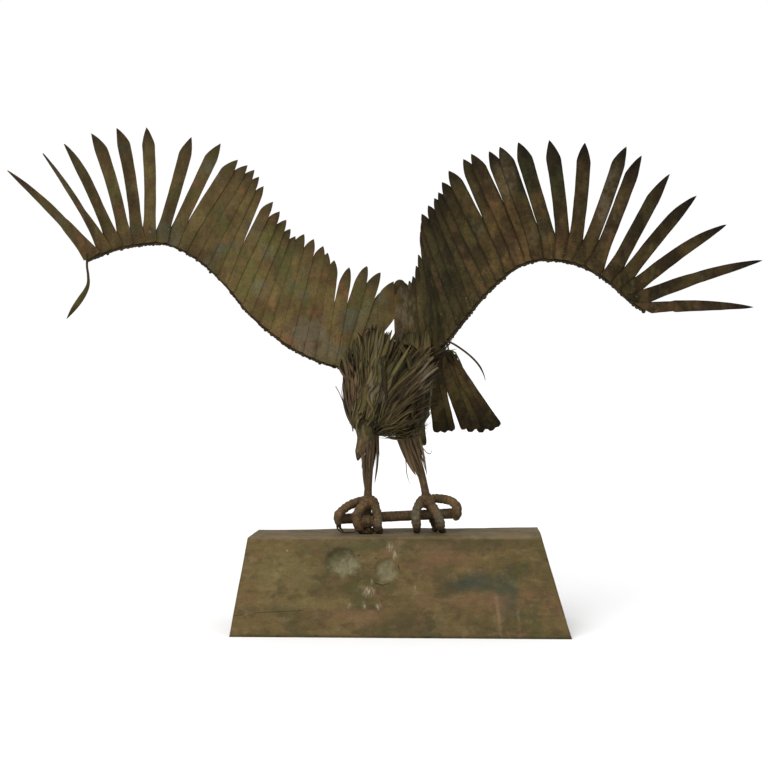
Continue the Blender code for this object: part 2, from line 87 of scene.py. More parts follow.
# Wings: the rods' routes, guides read by feather number, counted from the body, and how many
# inner feathers belong to each construction node. Place is the distance along the rod, Lean the
# turn outwards in degrees, and Drop how far a root hangs below the rod. The others are the
# blade's own sizes, with Twist in degrees.
LEFT_ROD = [
    (-0.131, 0.045, 0.647), (-0.197, 0.03, 0.663), (-0.279, 0.005, 0.705), (-0.3705, -0.018, 0.7825),
    (-0.4345, -0.025, 0.8605), (-0.506, -0.025, 0.926), (-0.5845, -0.02, 0.964), (-0.651, -0.01, 0.965),
    (-0.726, 0.0, 0.952), (-0.794, 0.01, 0.93),
]
LEFT_GUIDES = {
    "Place": [
        (1, 0.004), (3, 0.037), (5, 0.08), (9, 0.215), (13, 0.34), (14, 0.374), (15, 0.401), (16, 0.435),
        (19, 0.536), (20, 0.561), (21, 0.589), (22, 0.618), (25, 0.709), (26, 0.736), (27, 0.773),
    ],
    "Lean": [
        (1, -27.8), (2, -20.8), (3, -17.4), (5, -8.6), (7, -14.6), (9, -16.3), (11, -20.9), (12, -23.4),
        (13, -24.6), (14, -26.1), (15, -23.4), (17, -29.5), (19, -33.6), (20, -27.0), (21, -17.5),
        (22, 0.2), (23, 8.6), (24, 15.7), (25, 25.6), (26, 33.2), (27, 45.4),
    ],
    "Length": [
        (1, 0.249), (3, 0.265), (4, 0.25), (5, 0.257), (7, 0.271), (9, 0.263), (10, 0.239), (12, 0.244),
        (14, 0.241), (15, 0.256), (17, 0.263), (19, 0.264), (20, 0.281), (21, 0.273), (22, 0.289),
        (23, 0.299), (26, 0.31), (27, 0.33),
    ],
    "Width": [
        (1, 0.044), (3, 0.036), (7, 0.035), (13, 0.034), (14, 0.0315), (15, 0.0315), (16, 0.034),
        (19, 0.035), (20, 0.033), (24, 0.033), (25, 0.036), (26, 0.034), (27, 0.036),
    ],
    "Drop": [(1, 0.0), (27, 0.0)],
    "Twist": [(1, 0), (24, 0), (25, 18), (26, 36), (27, 20)],
    "Bow": [(1, 0), (20, 0), (22, -0.006), (24, -0.008), (27, -0.01)],
    "Point Length": [
        (1, 0.07), (2, 0.05), (4, 0.05), (5, 0.036), (18, 0.036), (20, 0.046), (24, 0.052), (25, 0.1),
        (26, 0.19), (27, 0.21),
    ],
    "Point Curve": [(1, 1.7), (18, 1.6), (20, 1.3), (24, 1.3), (26, 1.7), (27, 1.7)],
    "Point Fullness": [
        (1, 0.8), (2, 0.72), (4, 0.68), (5, 0.82), (18, 0.86), (24, 0.82), (25, 0.74), (27, 0.72),
    ],
    "Skew": [
        (1, -0.9), (2, -0.5), (3, -0.25), (4, -0.2), (5, -0.1), (8, -0.3), (10, -0.45), (18, -0.5),
        (20, -0.38), (21, -0.3), (22, 0.1), (23, 0.5), (24, 0.6), (27, 0.2),
    ],
    "Flare": [(1, 0.0), (14, 0.1), (19, 0.28), (22, 0.42), (25, 0.4), (26, 0.2), (27, 0.35)],
    "Tip Breadth": [
        (1, 0.86), (17, 0.86), (19, 0.96), (20, 1.06), (22, 1.1), (24, 1.08), (25, 0.94), (27, 0.86),
    ],
}
LEFT_GROUPS = [3, 3, 3, 3, 3, 4]
RIGHT_ROD = [
    (-0.002, 0.14, 0.68), (0.042, 0.08, 0.684), (0.085, 0.02, 0.692), (0.117, -0.04, 0.708),
    (0.158, -0.07, 0.7575), (0.214, -0.09, 0.824), (0.289, -0.1, 0.8865), (0.343, -0.1, 0.903),
    (0.416, -0.1, 0.896), (0.491, -0.09, 0.861), (0.5605, -0.08, 0.801), (0.59, -0.0725, 0.7815),
]
RIGHT_GUIDES = {
    "Place": [
        (1, 0.01), (6, 0.149), (8, 0.217), (10, 0.266), (15, 0.411), (19, 0.522), (20, 0.54), (21, 0.571),
        (24, 0.634), (25, 0.667), (26, 0.711), (28, 0.762), (29, 0.785), (30, 0.813),
    ],
    "Lean": [
        (1, -3.3), (2, -2), (4, -6.1), (6, -13.4), (7, -19.0), (9, -17.2), (11, -21.9), (12, -21.6),
        (13, -22.1), (14, -24.4), (15, -26.0), (16, -26.2), (17, -23.0), (18, -24.2), (19, -21.2),
        (20, -19.1), (21, -16.1), (22, -6), (23, 6.3), (24, 20.4), (25, 22.0), (26, 29.0), (27, 40.0),
        (28, 55.0), (29, 72.5), (30, 89.2),
    ],
    "Length": [
        (1, 0.198), (2, 0.186), (4, 0.198), (5, 0.223), (6, 0.251), (7, 0.288), (8, 0.298), (10, 0.283),
        (11, 0.288), (13, 0.277), (14, 0.272), (16, 0.288), (18, 0.29), (19, 0.281), (21, 0.292),
        (23, 0.285), (24, 0.303), (26, 0.295), (28, 0.302), (29, 0.34), (30, 0.292),
    ],
    "Width": [
        (1, 0.05), (3, 0.032), (12, 0.033), (14, 0.036), (19, 0.036), (21, 0.035), (24, 0.034), (27, 0.033),
        (29, 0.032), (30, 0.029),
    ],
    "Drop": [(1, 0.022), (5, 0.023), (7, 0.014), (8, 0.003), (9, 0.0), (30, 0.0)],
    "Twist": [(1, 0), (26, 0), (28, 12), (30, 26)],
    "Bow": [(1, 0), (21, 0), (22, 0.005), (24, 0.004), (26, 0), (28, -0.006), (30, -0.004)],
    "Point Length": [
        (1, 0.022), (2, 0.03), (24, 0.046), (25, 0.056), (26, 0.075), (27, 0.085), (28, 0.12), (29, 0.17),
        (30, 0.21),
    ],
    "Point Curve": [(1, 1.7), (16, 1.6), (19, 1.3), (26, 1.25), (28, 1.6), (30, 1.7)],
    "Point Fullness": [(1, 0.5), (3, 0.8), (23, 0.8), (26, 0.78), (28, 0.7), (30, 0.66)],
    "Skew": [
        (1, 0.0), (3, -0.4), (8, -0.2), (16, -0.25), (20, -0.25), (22, -0.15), (23, 0.05), (24, 0.38),
        (26, 0.45), (28, 0.4), (30, 0.1),
    ],
    "Flare": [(1, 0.0), (14, 0.15), (19, 0.35), (23, 0.55), (26, 0.5), (28, 0.25), (30, 0.1)],
    "Tip Breadth": [
        (1, 0.84), (14, 0.86), (17, 0.92), (19, 0.98), (20, 1.06), (23, 1.04), (24, 0.98), (26, 0.98),
        (27, 0.94), (28, 0.9), (30, 0.84),
    ],
}
RIGHT_GROUPS = [3, 4, 3, 3, 3, 4]

# Tail panels: (top, bottom, top width, bottom width)
TAIL_PANELS = [
    ((0.038, 0.106, 0.61), (0.048, 0.136, 0.446), 0.024, 0.027),
    ((0.068, 0.078, 0.682), (0.099, 0.16, 0.481), 0.032, 0.042),
    ((0.08, 0.084, 0.684), (0.117, 0.166, 0.481), 0.032, 0.04),
    ((0.094, 0.09, 0.685), (0.168, 0.172, 0.489), 0.03, 0.036),
    ((0.099, 0.096, 0.686), (0.188, 0.178, 0.484), 0.03, 0.042),
    ((0.107, 0.102, 0.686), (0.215, 0.184, 0.483), 0.03, 0.04),
    ((0.115, 0.108, 0.686), (0.242, 0.19, 0.488), 0.03, 0.038),
]

# Body bundle: the middle and half sizes of its rounded form
BODY_CENTRE = Vector((-0.032, -0.004, 0.592))
BODY_HALF = Vector((0.098, 0.094, 0.112))
BODY_SQUARENESS = 2.7
CORE_SHARE = 0.93
# The breast's and the neck's swelling in front view: middle x and z, half width, half height, depth
BREAST_FORM = (-0.030, 0.590, 0.125, 0.150, 0.088)
NECK_FORM = (-0.077, 0.500, 0.034, 0.075, 0.096)
SHOULDER_DEPTH = 0.040
BREAST_BACK = 0.004

# Head and hooked beak: (centre, half width, half height across the path)
HEAD_SECTIONS = [
    ((-0.064, -0.1065, 0.58), 0.016, 0.007), ((-0.067, -0.1125, 0.555), 0.017, 0.011),
    ((-0.07, -0.122, 0.53), 0.018, 0.015), ((-0.0785, -0.137, 0.508), 0.0205, 0.022),
    ((-0.0775, -0.15, 0.484), 0.0165, 0.0235), ((-0.084, -0.162, 0.465), 0.0122, 0.016),
    ((-0.0872, -0.168, 0.449), 0.0112, 0.011), ((-0.0905, -0.166, 0.4365), 0.0062, 0.0072),
    ((-0.093, -0.16, 0.428), 0.0016, 0.0016),
]
# Bumps on both sides of the head: height, section, turn up from the side in degrees, then the
# spread along and around. They are the brows, eye sockets, eyes, cheeks, gape, nostrils, the
# beak's ridge and the step behind it.
HEAD_BUMPS = [
    (0.0042, 3.7, 38, 0.75, 15), (-0.0048, 4.05, 14, 0.34, 13), (0.0030, 4.05, 14, 0.13, 6),
    (0.0022, 3.6, -20, 0.7, 22), (-0.0016, 5.6, -28, 1.1, 7), (-0.0012, 5.45, 30, 0.12, 10),
    (0.0008, 5.9, 90, 1.3, 24), (-0.0005, 5.0, 90, 0.16, 60),
]

# Legs: (point, radius), top to ankle; strips round each; and the share of the leg that each
# layer of strips covers
LEGS = {
    "left": [
        ((-0.074, -0.011, 0.497), 0.017), ((-0.074, -0.011, 0.477), 0.015), ((-0.074, -0.011, 0.45), 0.012),
        ((-0.08, -0.003, 0.39), 0.01), ((-0.082, 0.0, 0.345), 0.0094), ((-0.083, 0.0, 0.322), 0.0112),
    ],
    "right": [
        ((0.022, -0.006, 0.497), 0.02), ((0.024, -0.005, 0.477), 0.018), ((0.026, -0.004, 0.455), 0.0165),
        ((0.037, -0.002, 0.425), 0.0124), ((0.049, 0.0, 0.39), 0.01), ((0.059, 0.0, 0.35), 0.0094),
        ((0.063, 0.0, 0.325), 0.0112),
    ],
}
LEG_STRIP_COUNTS = {"left": 9, "right": 10}
LEG_LAYERS = (1.0, 0.72, 0.50)
# Loose pointed strips of each leg: the half width at the start, then the points
SPIKES = {
    "left": [
        (0.005, [(-0.086, -0.02, 0.47), (-0.09, -0.024, 0.44), (-0.095, -0.028, 0.397)]),
        (0.0036, [(-0.088, -0.014, 0.43), (-0.092, -0.018, 0.39), (-0.0895, -0.016, 0.347)]),
        (0.0034, [(-0.058, -0.022, 0.478), (-0.0566, -0.024, 0.42), (-0.064, -0.018, 0.362)]),
    ],
    "right": [
        (0.0105, [
            (-0.003, -0.024, 0.488), (0.008, -0.026, 0.452), (0.022, -0.024, 0.414), (0.0385, -0.02, 0.38),
        ]),
        (0.009, [
            (0.006, -0.022, 0.486), (0.018, -0.023, 0.45), (0.031, -0.021, 0.414), (0.0455, -0.016, 0.374),
        ]),
        (0.004, [(0.048, -0.02, 0.474), (0.058, -0.018, 0.43), (0.066, -0.012, 0.38)]),
        (0.004, [(0.03, -0.026, 0.484), (0.044, -0.024, 0.44), (0.056, -0.014, 0.39)]),
    ],
}

# Talons: points from the ankle to the tip, and the radius along them as shares of the stock's
TALONS = {
    "left_foot_outer_talon": [
        (-0.1, 0.0, 0.316), (-0.122, -0.01, 0.308), (-0.143, -0.022, 0.295), (-0.154, -0.03, 0.283),
        (-0.155, -0.03, 0.266), (-0.15, -0.016, 0.248), (-0.146, -0.001, 0.2405),
    ],
    "left_foot_front_talon": [
        (-0.083, -0.018, 0.316), (-0.098, -0.034, 0.302), (-0.108, -0.038, 0.281), (-0.106, -0.034, 0.261),
        (-0.102, -0.021, 0.248), (-0.099, -0.006, 0.241),
    ],
    "left_foot_inner_talon": [
        (-0.068, -0.005, 0.316), (-0.062, -0.024, 0.301), (-0.0555, -0.032, 0.279), (-0.057, -0.029, 0.261),
        (-0.058, -0.018, 0.249), (-0.059, -0.003, 0.2415),
    ],
    "left_foot_rear_talon": [
        (-0.083, 0.018, 0.317), (-0.086, 0.032, 0.3), (-0.089, 0.036, 0.278), (-0.092, 0.03, 0.257),
        (-0.094, 0.019, 0.2385),
    ],
    "right_foot_inner_talon": [
        (0.053, -0.008, 0.319), (0.046, -0.028, 0.308), (0.039, -0.034, 0.289), (0.039, -0.032, 0.27),
        (0.04, -0.02, 0.253), (0.041, -0.006, 0.2413),
    ],
    "right_foot_front_talon": [
        (0.069, -0.017, 0.317), (0.082, -0.032, 0.301), (0.093, -0.036, 0.281), (0.098, -0.032, 0.266),
        (0.099, -0.02, 0.253), (0.1, -0.005, 0.242),
    ],
    "right_foot_outer_talon": [
        (0.08, 0.003, 0.32), (0.101, -0.008, 0.321), (0.125, -0.02, 0.316), (0.14, -0.03, 0.303),
        (0.141, -0.031, 0.287), (0.136, -0.024, 0.274),
    ],
    "right_foot_rear_talon": [
        (0.062, 0.018, 0.319), (0.068, 0.032, 0.305), (0.075, 0.036, 0.285), (0.08, 0.031, 0.264),
        (0.083, 0.019, 0.24),
    ],
}
TALON_RADIUS = 0.0105
TALON_SHARES = (1.05, 1.06, 1.04, 1.08, 1.02, 0.76)
TALON_END = (0.34,)
TALON_ENDS = {"left_foot_outer_talon": (0.80, 0.24, 0.18), "right_foot_outer_talon": (0.80,)}
RIDGE_DEPTH, RIDGE_SIZE = 0.035, 0.0110
DEEP_RIDGES = {"right_foot_outer_talon": 0.045, "right_foot_inner_talon": 0.045}

# Perch bar, and the ankles' welds: their middles and half sizes
BAR_ENDS = ((-0.155, 0.0, 0.2697), (0.132, 0.0, 0.2838))
BAR_RADIUS = 0.012875
ANKLES = {"left": (-0.083, -0.008, 0.3125), "right": (0.065, -0.006, 0.3150)}
ANKLE_HALVES = (0.0225, 0.0190, 0.0185)

# Welds on the left foot's knuckles, and lumps where the talons meet the plinth: the place, then
# half width, half depth and half height
KNUCKLE_WELDS = [
    (-0.0965, -0.021, 0.27, 0.019, 0.013, 0.015), (-0.0815, -0.02, 0.268, 0.018, 0.013, 0.0165),
]
RUST_LUMPS = [
    (-0.096, -0.012, 0.243, 0.01, 0.012, 0.0085), (-0.08, -0.014, 0.243, 0.013, 0.013, 0.0095),
    (-0.086, -0.022, 0.24, 0.01, 0.01, 0.0055), (-0.056, -0.008, 0.244, 0.011, 0.012, 0.0095),
    (-0.05, -0.016, 0.24, 0.006, 0.008, 0.005), (0.039, -0.01, 0.242, 0.009, 0.011, 0.006),
    (0.103, -0.008, 0.243, 0.009, 0.012, 0.006), (0.084, 0.014, 0.243, 0.008, 0.01, 0.006),
]

# The strip that hangs, twisted, from the left wing's end: (point, half width, turn in degrees)
END_STRIP = [
    ((-0.794, 0.003, 0.9437), 0.0046, 62), ((-0.7946, 0.003, 0.9285), 0.0046, 66),
    ((-0.795, 0.003, 0.912), 0.0046, 68), ((-0.7926, 0.003, 0.8929), 0.0048, 66),
    ((-0.792, 0.003, 0.87), 0.0052, 58), ((-0.798, 0.003, 0.8522), 0.0062, 42),
    ((-0.8143, 0.003, 0.827), 0.0076, 25), ((-0.8328, 0.002, 0.8018), 0.0058, 20),
    ((-0.8486, 0.001, 0.779), 0.0005, 20),
]

# Loose wires: a radius and the points of each
WIRES = {
    "left_shoulder_curl": (0.0012, [
        (-0.0955, -0.02, 0.7152), (-0.0895, -0.022, 0.7326), (-0.0777, -0.022, 0.7456),
        (-0.066, -0.022, 0.7386), (-0.062, -0.022, 0.7209), (-0.066, -0.024, 0.703),
    ]),
    "middle_curl": (0.0011, [
        (-0.057, -0.02, 0.705), (-0.052, -0.02, 0.718), (-0.045, -0.02, 0.73), (-0.038, -0.02, 0.727),
        (-0.036, -0.02, 0.715),
    ]),
    "right_shoulder_wire": (0.0026, [
        (0.104, -0.06, 0.716), (0.128, -0.052, 0.708), (0.15, -0.04, 0.695), (0.178, -0.032, 0.673),
        (0.198, -0.028, 0.65), (0.208, -0.026, 0.63), (0.212, -0.026, 0.615),
    ]),
    "tail_curl_wire": (0.0011, [
        (0.04, 0.06, 0.47), (0.052, 0.052, 0.448), (0.062, 0.05, 0.434), (0.071, 0.048, 0.429),
        (0.076, 0.048, 0.434), (0.077, 0.048, 0.441),
    ]),
    "right_thigh_wire": (0.0011, [
        (-0.008, -0.04, 0.484), (0.002, -0.034, 0.462), (0.011, -0.031, 0.436), (0.015, -0.03, 0.412),
        (0.017, -0.03, 0.385), (0.025, -0.03, 0.358),
    ]),
    "left_thigh_wire": (0.0013, [
        (-0.053, -0.036, 0.486), (-0.052, -0.032, 0.46), (-0.053, -0.031, 0.432), (-0.056, -0.028, 0.4),
        (-0.063, -0.025, 0.362),
    ]),
    "left_foot_loop_wire": (0.0022, [
        (-0.158, -0.034, 0.262), (-0.156, -0.036, 0.251), (-0.149, -0.037, 0.244), (-0.138, -0.037, 0.241),
        (-0.124, -0.036, 0.2405), (-0.11, -0.034, 0.241),
    ]),
    "shoulder_knot_long_wire": (0.0012, [
        (0.096, -0.058, 0.7), (0.108, -0.06, 0.706), (0.118, -0.058, 0.701), (0.124, -0.056, 0.69),
        (0.134, -0.054, 0.69), (0.143, -0.052, 0.693),
    ]),
    "shoulder_knot_cross_wire": (0.0012, [
        (0.128, -0.058, 0.709), (0.122, -0.058, 0.7), (0.112, -0.058, 0.696), (0.104, -0.058, 0.69),
    ]),
    "shoulder_knot_short_wire": (0.0014, [
        (0.116, -0.056, 0.712), (0.121, -0.056, 0.704), (0.122, -0.054, 0.692), (0.125, -0.05, 0.68),
    ]),
    "left_flank_wire": (0.0011, [
        (-0.156, -0.05, 0.603), (-0.146, -0.058, 0.586), (-0.134, -0.064, 0.558), (-0.122, -0.07, 0.528),
        (-0.108, -0.08, 0.506),
    ]),
    "left_breast_wire": (0.0011, [
        (-0.12, -0.02, 0.652), (-0.133, -0.04, 0.632), (-0.139, -0.05, 0.606), (-0.136, -0.056, 0.58),
        (-0.13, -0.06, 0.552),
    ]),
}

# Plinth
PLINTH_HALF_LENGTH, PLINTH_HALF_DEPTH = 0.411, 0.131
PLINTH_TOP_LEFT, PLINTH_TOP_RIGHT, PLINTH_TOP_HALF_DEPTH = -0.373, 0.343, 0.079
PLINTH_TOP_NARROWING = 0.010
PLINTH_HEIGHT_LEFT, PLINTH_HEIGHT_RIGHT = 0.2325, 0.2395
PLINTH_WALL = 0.003
PLINTH_SEAM = 0.0001
PLINTH_SET_BACK = 0.0002
# How the sheet waves: how often in a metre, and how deep. It lies flat near its foot.
PLINTH_WAVES = ((7, 0.0018), (22, 0.0006))
FLAT_FOOT = 0.03
# Dents: middle x and z, half width, half height, corners of the crease, first corner, depth
DENTS = [
    (-0.1407, 0.1775, 0.0405, 0.0350, 6, 0.3, 0.011), (-0.0333, 0.1545, 0.0300, 0.0315, 9, 0.1, 0.010),
]
DENT_RIM, DENT_RIM_HEIGHT = 0.25, 0.0006
# Scuffs: the place and its half sizes. Scratches: start, end and half width. Drips: the same,
# then how strong they are.
SCUFFS = [
    ((-0.0745, -0.1066, 0.108), (0.012, 0.05, 0.01)), ((-0.0665, -0.105, 0.13), (0.003, 0.05, 0.005)),
    ((-0.085, -0.1122, 0.0752), (0.004, 0.05, 0.008)), ((-0.0506, -0.113, 0.0716), (0.006, 0.05, 0.006)),
    ((-0.12, -0.112, 0.072), (0.004, 0.05, 0.006)), ((0.0382, -0.106, 0.1156), (0.002, 0.05, 0.005)),
    ((-0.2749, -0.0864, 0.2025), (0.002, 0.05, 0.002)), ((-0.024, -0.085, 0.212), (0.006, 0.05, 0.009)),
    ((-0.012, -0.09, 0.192), (0.004, 0.05, 0.008)),
]
SCRATCHES = [
    ((-0.348, -0.1186, 0.0564), (-0.234, -0.1174, 0.0617), 0.0008),
    ((-0.405, -0.12, 0.048), (-0.38, -0.12, 0.052), 0.0007),
    ((-0.058, -0.104, 0.126), (-0.0416, -0.104, 0.1215), 0.0016),
    ((-0.0416, -0.104, 0.1215), (-0.024, -0.104, 0.1255), 0.0012),
    ((-0.0024, -0.0949, 0.168), (-0.0006, -0.0949, 0.16), 0.0018),
    ((-0.101, -0.0889, 0.1915), (-0.0975, -0.0889, 0.1905), 0.0016),
    ((-0.059, -0.0904, 0.1848), (-0.0565, -0.0904, 0.184), 0.0014),
]
DRIPS = [
    ((0.2330, -0.113, 0.094), (0.2440, -0.126, 0.004), 0.0042, 0.60),
    ((0.2840, -0.120, 0.060), (0.2880, -0.128, 0.002), 0.0038, 0.30),
]


def linear(value):
    """One 0 to 255 display value as linear light."""
    share = value / 255
    return share / 12.92 if share <= 0.04045 else ((share + 0.055) / 1.055) ** 2.4


def tone(red, green, blue):
    return (linear(red), linear(green), linear(blue), 1.0)


# Node building -------------------------------------------------------------------------


class Wire:
    """A node's output that can stand in sums: each operator adds the Math node that it names."""

    def __init__(self, board, socket):
        self.board = board
        self.socket = socket

    def out(self, name):
        return Wire(self.board, self.socket.node.outputs[name])

    def math(self, operation, *others):
        return self.board.math(operation, self, *others)

    def __add__(self, other):
        return self.math("ADD", other)

    __radd__ = __add__

    def __sub__(self, other):
        return self.math("SUBTRACT", other)

    def __rsub__(self, other):
        return self.board.math("SUBTRACT", other, self)

    def __mul__(self, other):
        return self.math("MULTIPLY", other)

    __rmul__ = __mul__

    def __truediv__(self, other):
        return self.math("DIVIDE", other)

    def __rtruediv__(self, other):
        return self.board.math("DIVIDE", other, self)

    def __pow__(self, other):
        return self.math("POWER", other)

    def __abs__(self):
        return self.math("ABSOLUTE")


class Board:
    """A node tree that is built on: one method adds any node, its settings and its inputs."""

    def __init__(self, tree):
        self.tree = tree

    def node(self, kind, settings=None, inputs=None, output=0):
        made = self.tree.nodes.new(kind)
        for key, value in (settings or {}).items():
            setattr(made, key, value)
        for key, value in (inputs or {}).items():
            self.plug(made.inputs[key], value)
        return Wire(self, made.outputs[output])

    def plug(self, socket, value):
        if isinstance(value, Wire):
            self.tree.links.new(value.socket, socket)
        else:
            socket.default_value = value

    def math(self, operation, *values):
        return self.node("ShaderNodeMath", {"operation": operation}, dict(enumerate(values)))

    def ramp(self, value, low, high):
        """Rises smoothly from 0 to 1 while value goes from low to high."""
        settings = {"interpolation_type": "SMOOTHSTEP"}
        return self.node("ShaderNodeMapRange", settings, {"Value": value, 1: low, 2: high})

    def clamp(self, value):
        return self.node("ShaderNodeClamp", None, {"Value": value})

    def vector(self, operation, *values, output=0):
        inputs = dict(enumerate(values))
        return self.node("ShaderNodeVectorMath", {"operation": operation}, inputs, output)

    def scaled(self, vector, size):
        return self.node("ShaderNodeVectorMath", {"operation": "SCALE"}, {0: vector, "Scale": size})

    def combine(self, x, y, z):
        return self.node("ShaderNodeCombineXYZ", None, {0: x, 1: y, 2: z})

    def split(self, vector):
        parts = self.node("ShaderNodeSeparateXYZ", None, {0: vector})
        return parts, parts.out("Y"), parts.out("Z")


class Finish(Board):
    """A metal finish: patches, bands and spots of colour on a Principled shader."""

    def __init__(self, name, metallic, shine=0.22):
        self.material = bpy.data.materials.new(name)
        self.material.use_nodes = True
        super().__init__(self.material.node_tree)
        self.shader = self.tree.nodes["Principled BSDF"]
        self.shader.inputs["Metallic"].default_value = metallic
        self.shader.inputs["Specular IOR Level"].default_value = shine
        self.place = self.node("ShaderNodeTexCoord", output="Object")
        self.rag = None

    def attribute(self, name):
        return self.node("ShaderNodeAttribute", {"attribute_name": name}, output="Fac")

    def own(self, offset=0.0):
        """A random number, 0 to 1, that each strip has to itself."""
        number = self.attribute("number") + offset
        return self.node("ShaderNodeTexWhiteNoise", {"noise_dimensions": "1D"}, {"W": number})

    def past(self, axis, start, end):
        """Rises from 0 to 1 between two places along an axis, in either direction."""
        n = "XYZ".index(axis)
        return self.ramp(self.split(self.place)[n], FOOT[n] + start, FOOT[n] + end)

    def cloud(self, size, low=0.42, high=0.62, stretch=(1, 1, 1), shift=0.0, detail=4.0, at=None):
        """Soft patches about this many metres across, from 0 to 1."""
        scale = [share / size for share in stretch]
        moved = {"Vector": at or self.place, "Scale": scale, "Location": (shift, shift * 0.7, shift)}
        spread = self.node("ShaderNodeMapping", None, moved)
        inputs = {"Vector": spread, "Scale": 1.0, "Detail": detail, "Roughness": 0.62}
        return self.ramp(self.node("ShaderNodeTexNoise", None, inputs), low, high)

    def grain(self, size, stretch=(1, 1, 1)):
        """Fine even noise about 0.5."""
        return self.cloud(size, 0.2, 0.8, stretch, 3.0, 3.0)

    def patches(self, colour, rows, stretch=(1, 1, 1)):
        """Cloudy patches over a colour, each from its size, low, high, shift, detail, share, tone."""
        for size, low, high, shift, detail, share, tint in rows:
            cover = self.cloud(size, low, high, stretch, shift, detail)
            colour = self.mix(cover * share, colour, tint)
        return colour

    def layers(self, colour, rows):
        """Tones over a colour, one on the other, each from the share that it covers and the tone."""
        for share, tint in rows:
            colour = self.mix(share, colour, tint)
        return colour

    def spot(self, centre, halves, soft=0.6, ragged=0.0):
        """1 inside a soft-edged ellipsoid round a place, 0 outside; ragged breaks its outline."""
        away = self.vector("SUBTRACT", self.place, tuple(FOOT + Vector(centre)))
        scaled = self.vector("DIVIDE", away, tuple(halves))
        distance = self.vector("LENGTH", scaled, output="Value")
        if ragged:
            self.rag = self.rag or self.cloud(0.022, 0.25, 0.75, shift=91.0)
            distance = distance + (self.rag - 0.5) * (2 * ragged)
        return self.ramp(distance, 1 + soft, 1 - soft)

    def spots(self, rows, soft=0.6, ragged=0.0):
        """Weighted spots, summed and held to 0 to 1. A row is weight, centre, halves and, where
        they differ, its own soft and ragged."""
        return self.clamp(sum(
            self.spot(centre, halves, *(edge or (soft, ragged))) * weight
            for weight, centre, halves, *edge in rows
        ))

    def stroke(self, start, end, half):
        """1 along a thin line on the plinth's front, 0 away from it."""
        start, end = FOOT + Vector(start), FOOT + Vector(end)
        line = end - start
        away = self.vector("SUBTRACT", self.place, tuple(start))
        share = self.vector("DOT_PRODUCT", away, tuple(line / line.length_squared), output="Value")
        nearest = self.scaled(tuple(line), self.clamp(share))
        gap = self.vector("MULTIPLY", self.vector("SUBTRACT", away, nearest), (1.0, 0.0, 1.0))
        distance = self.vector("LENGTH", gap, output="Value")
        return self.ramp(distance, half * 1.5, half * 0.4)

    def mix(self, share, first, second):
        return self.node("ShaderNodeMix", {"data_type": "RGBA"}, {0: share, 6: first, 7: second}, 2)

    def shade(self, colour, strengths):
        """The colour made darker or lighter by the product of numbers that vary."""
        strength = math.prod(strengths)
        grey = self.combine(strength, strength, strength)
        settings = {"data_type": "RGBA", "blend_type": "MULTIPLY"}
        return self.node("ShaderNodeMix", settings, {0: 1.0, 6: colour, 7: grey}, 2)

    def done(self, colour, roughness, height, distance):
        """Plugs the last nodes in; height is the relief in units of distance."""
        self.plug(self.shader.inputs["Base Color"], colour)
        self.plug(self.shader.inputs["Roughness"], roughness)
        inputs = {"Strength": 0.6, "Distance": distance, "Height": height}
        self.plug(self.shader.inputs["Normal"], self.node("ShaderNodeBump", None, inputs))
        return self.material


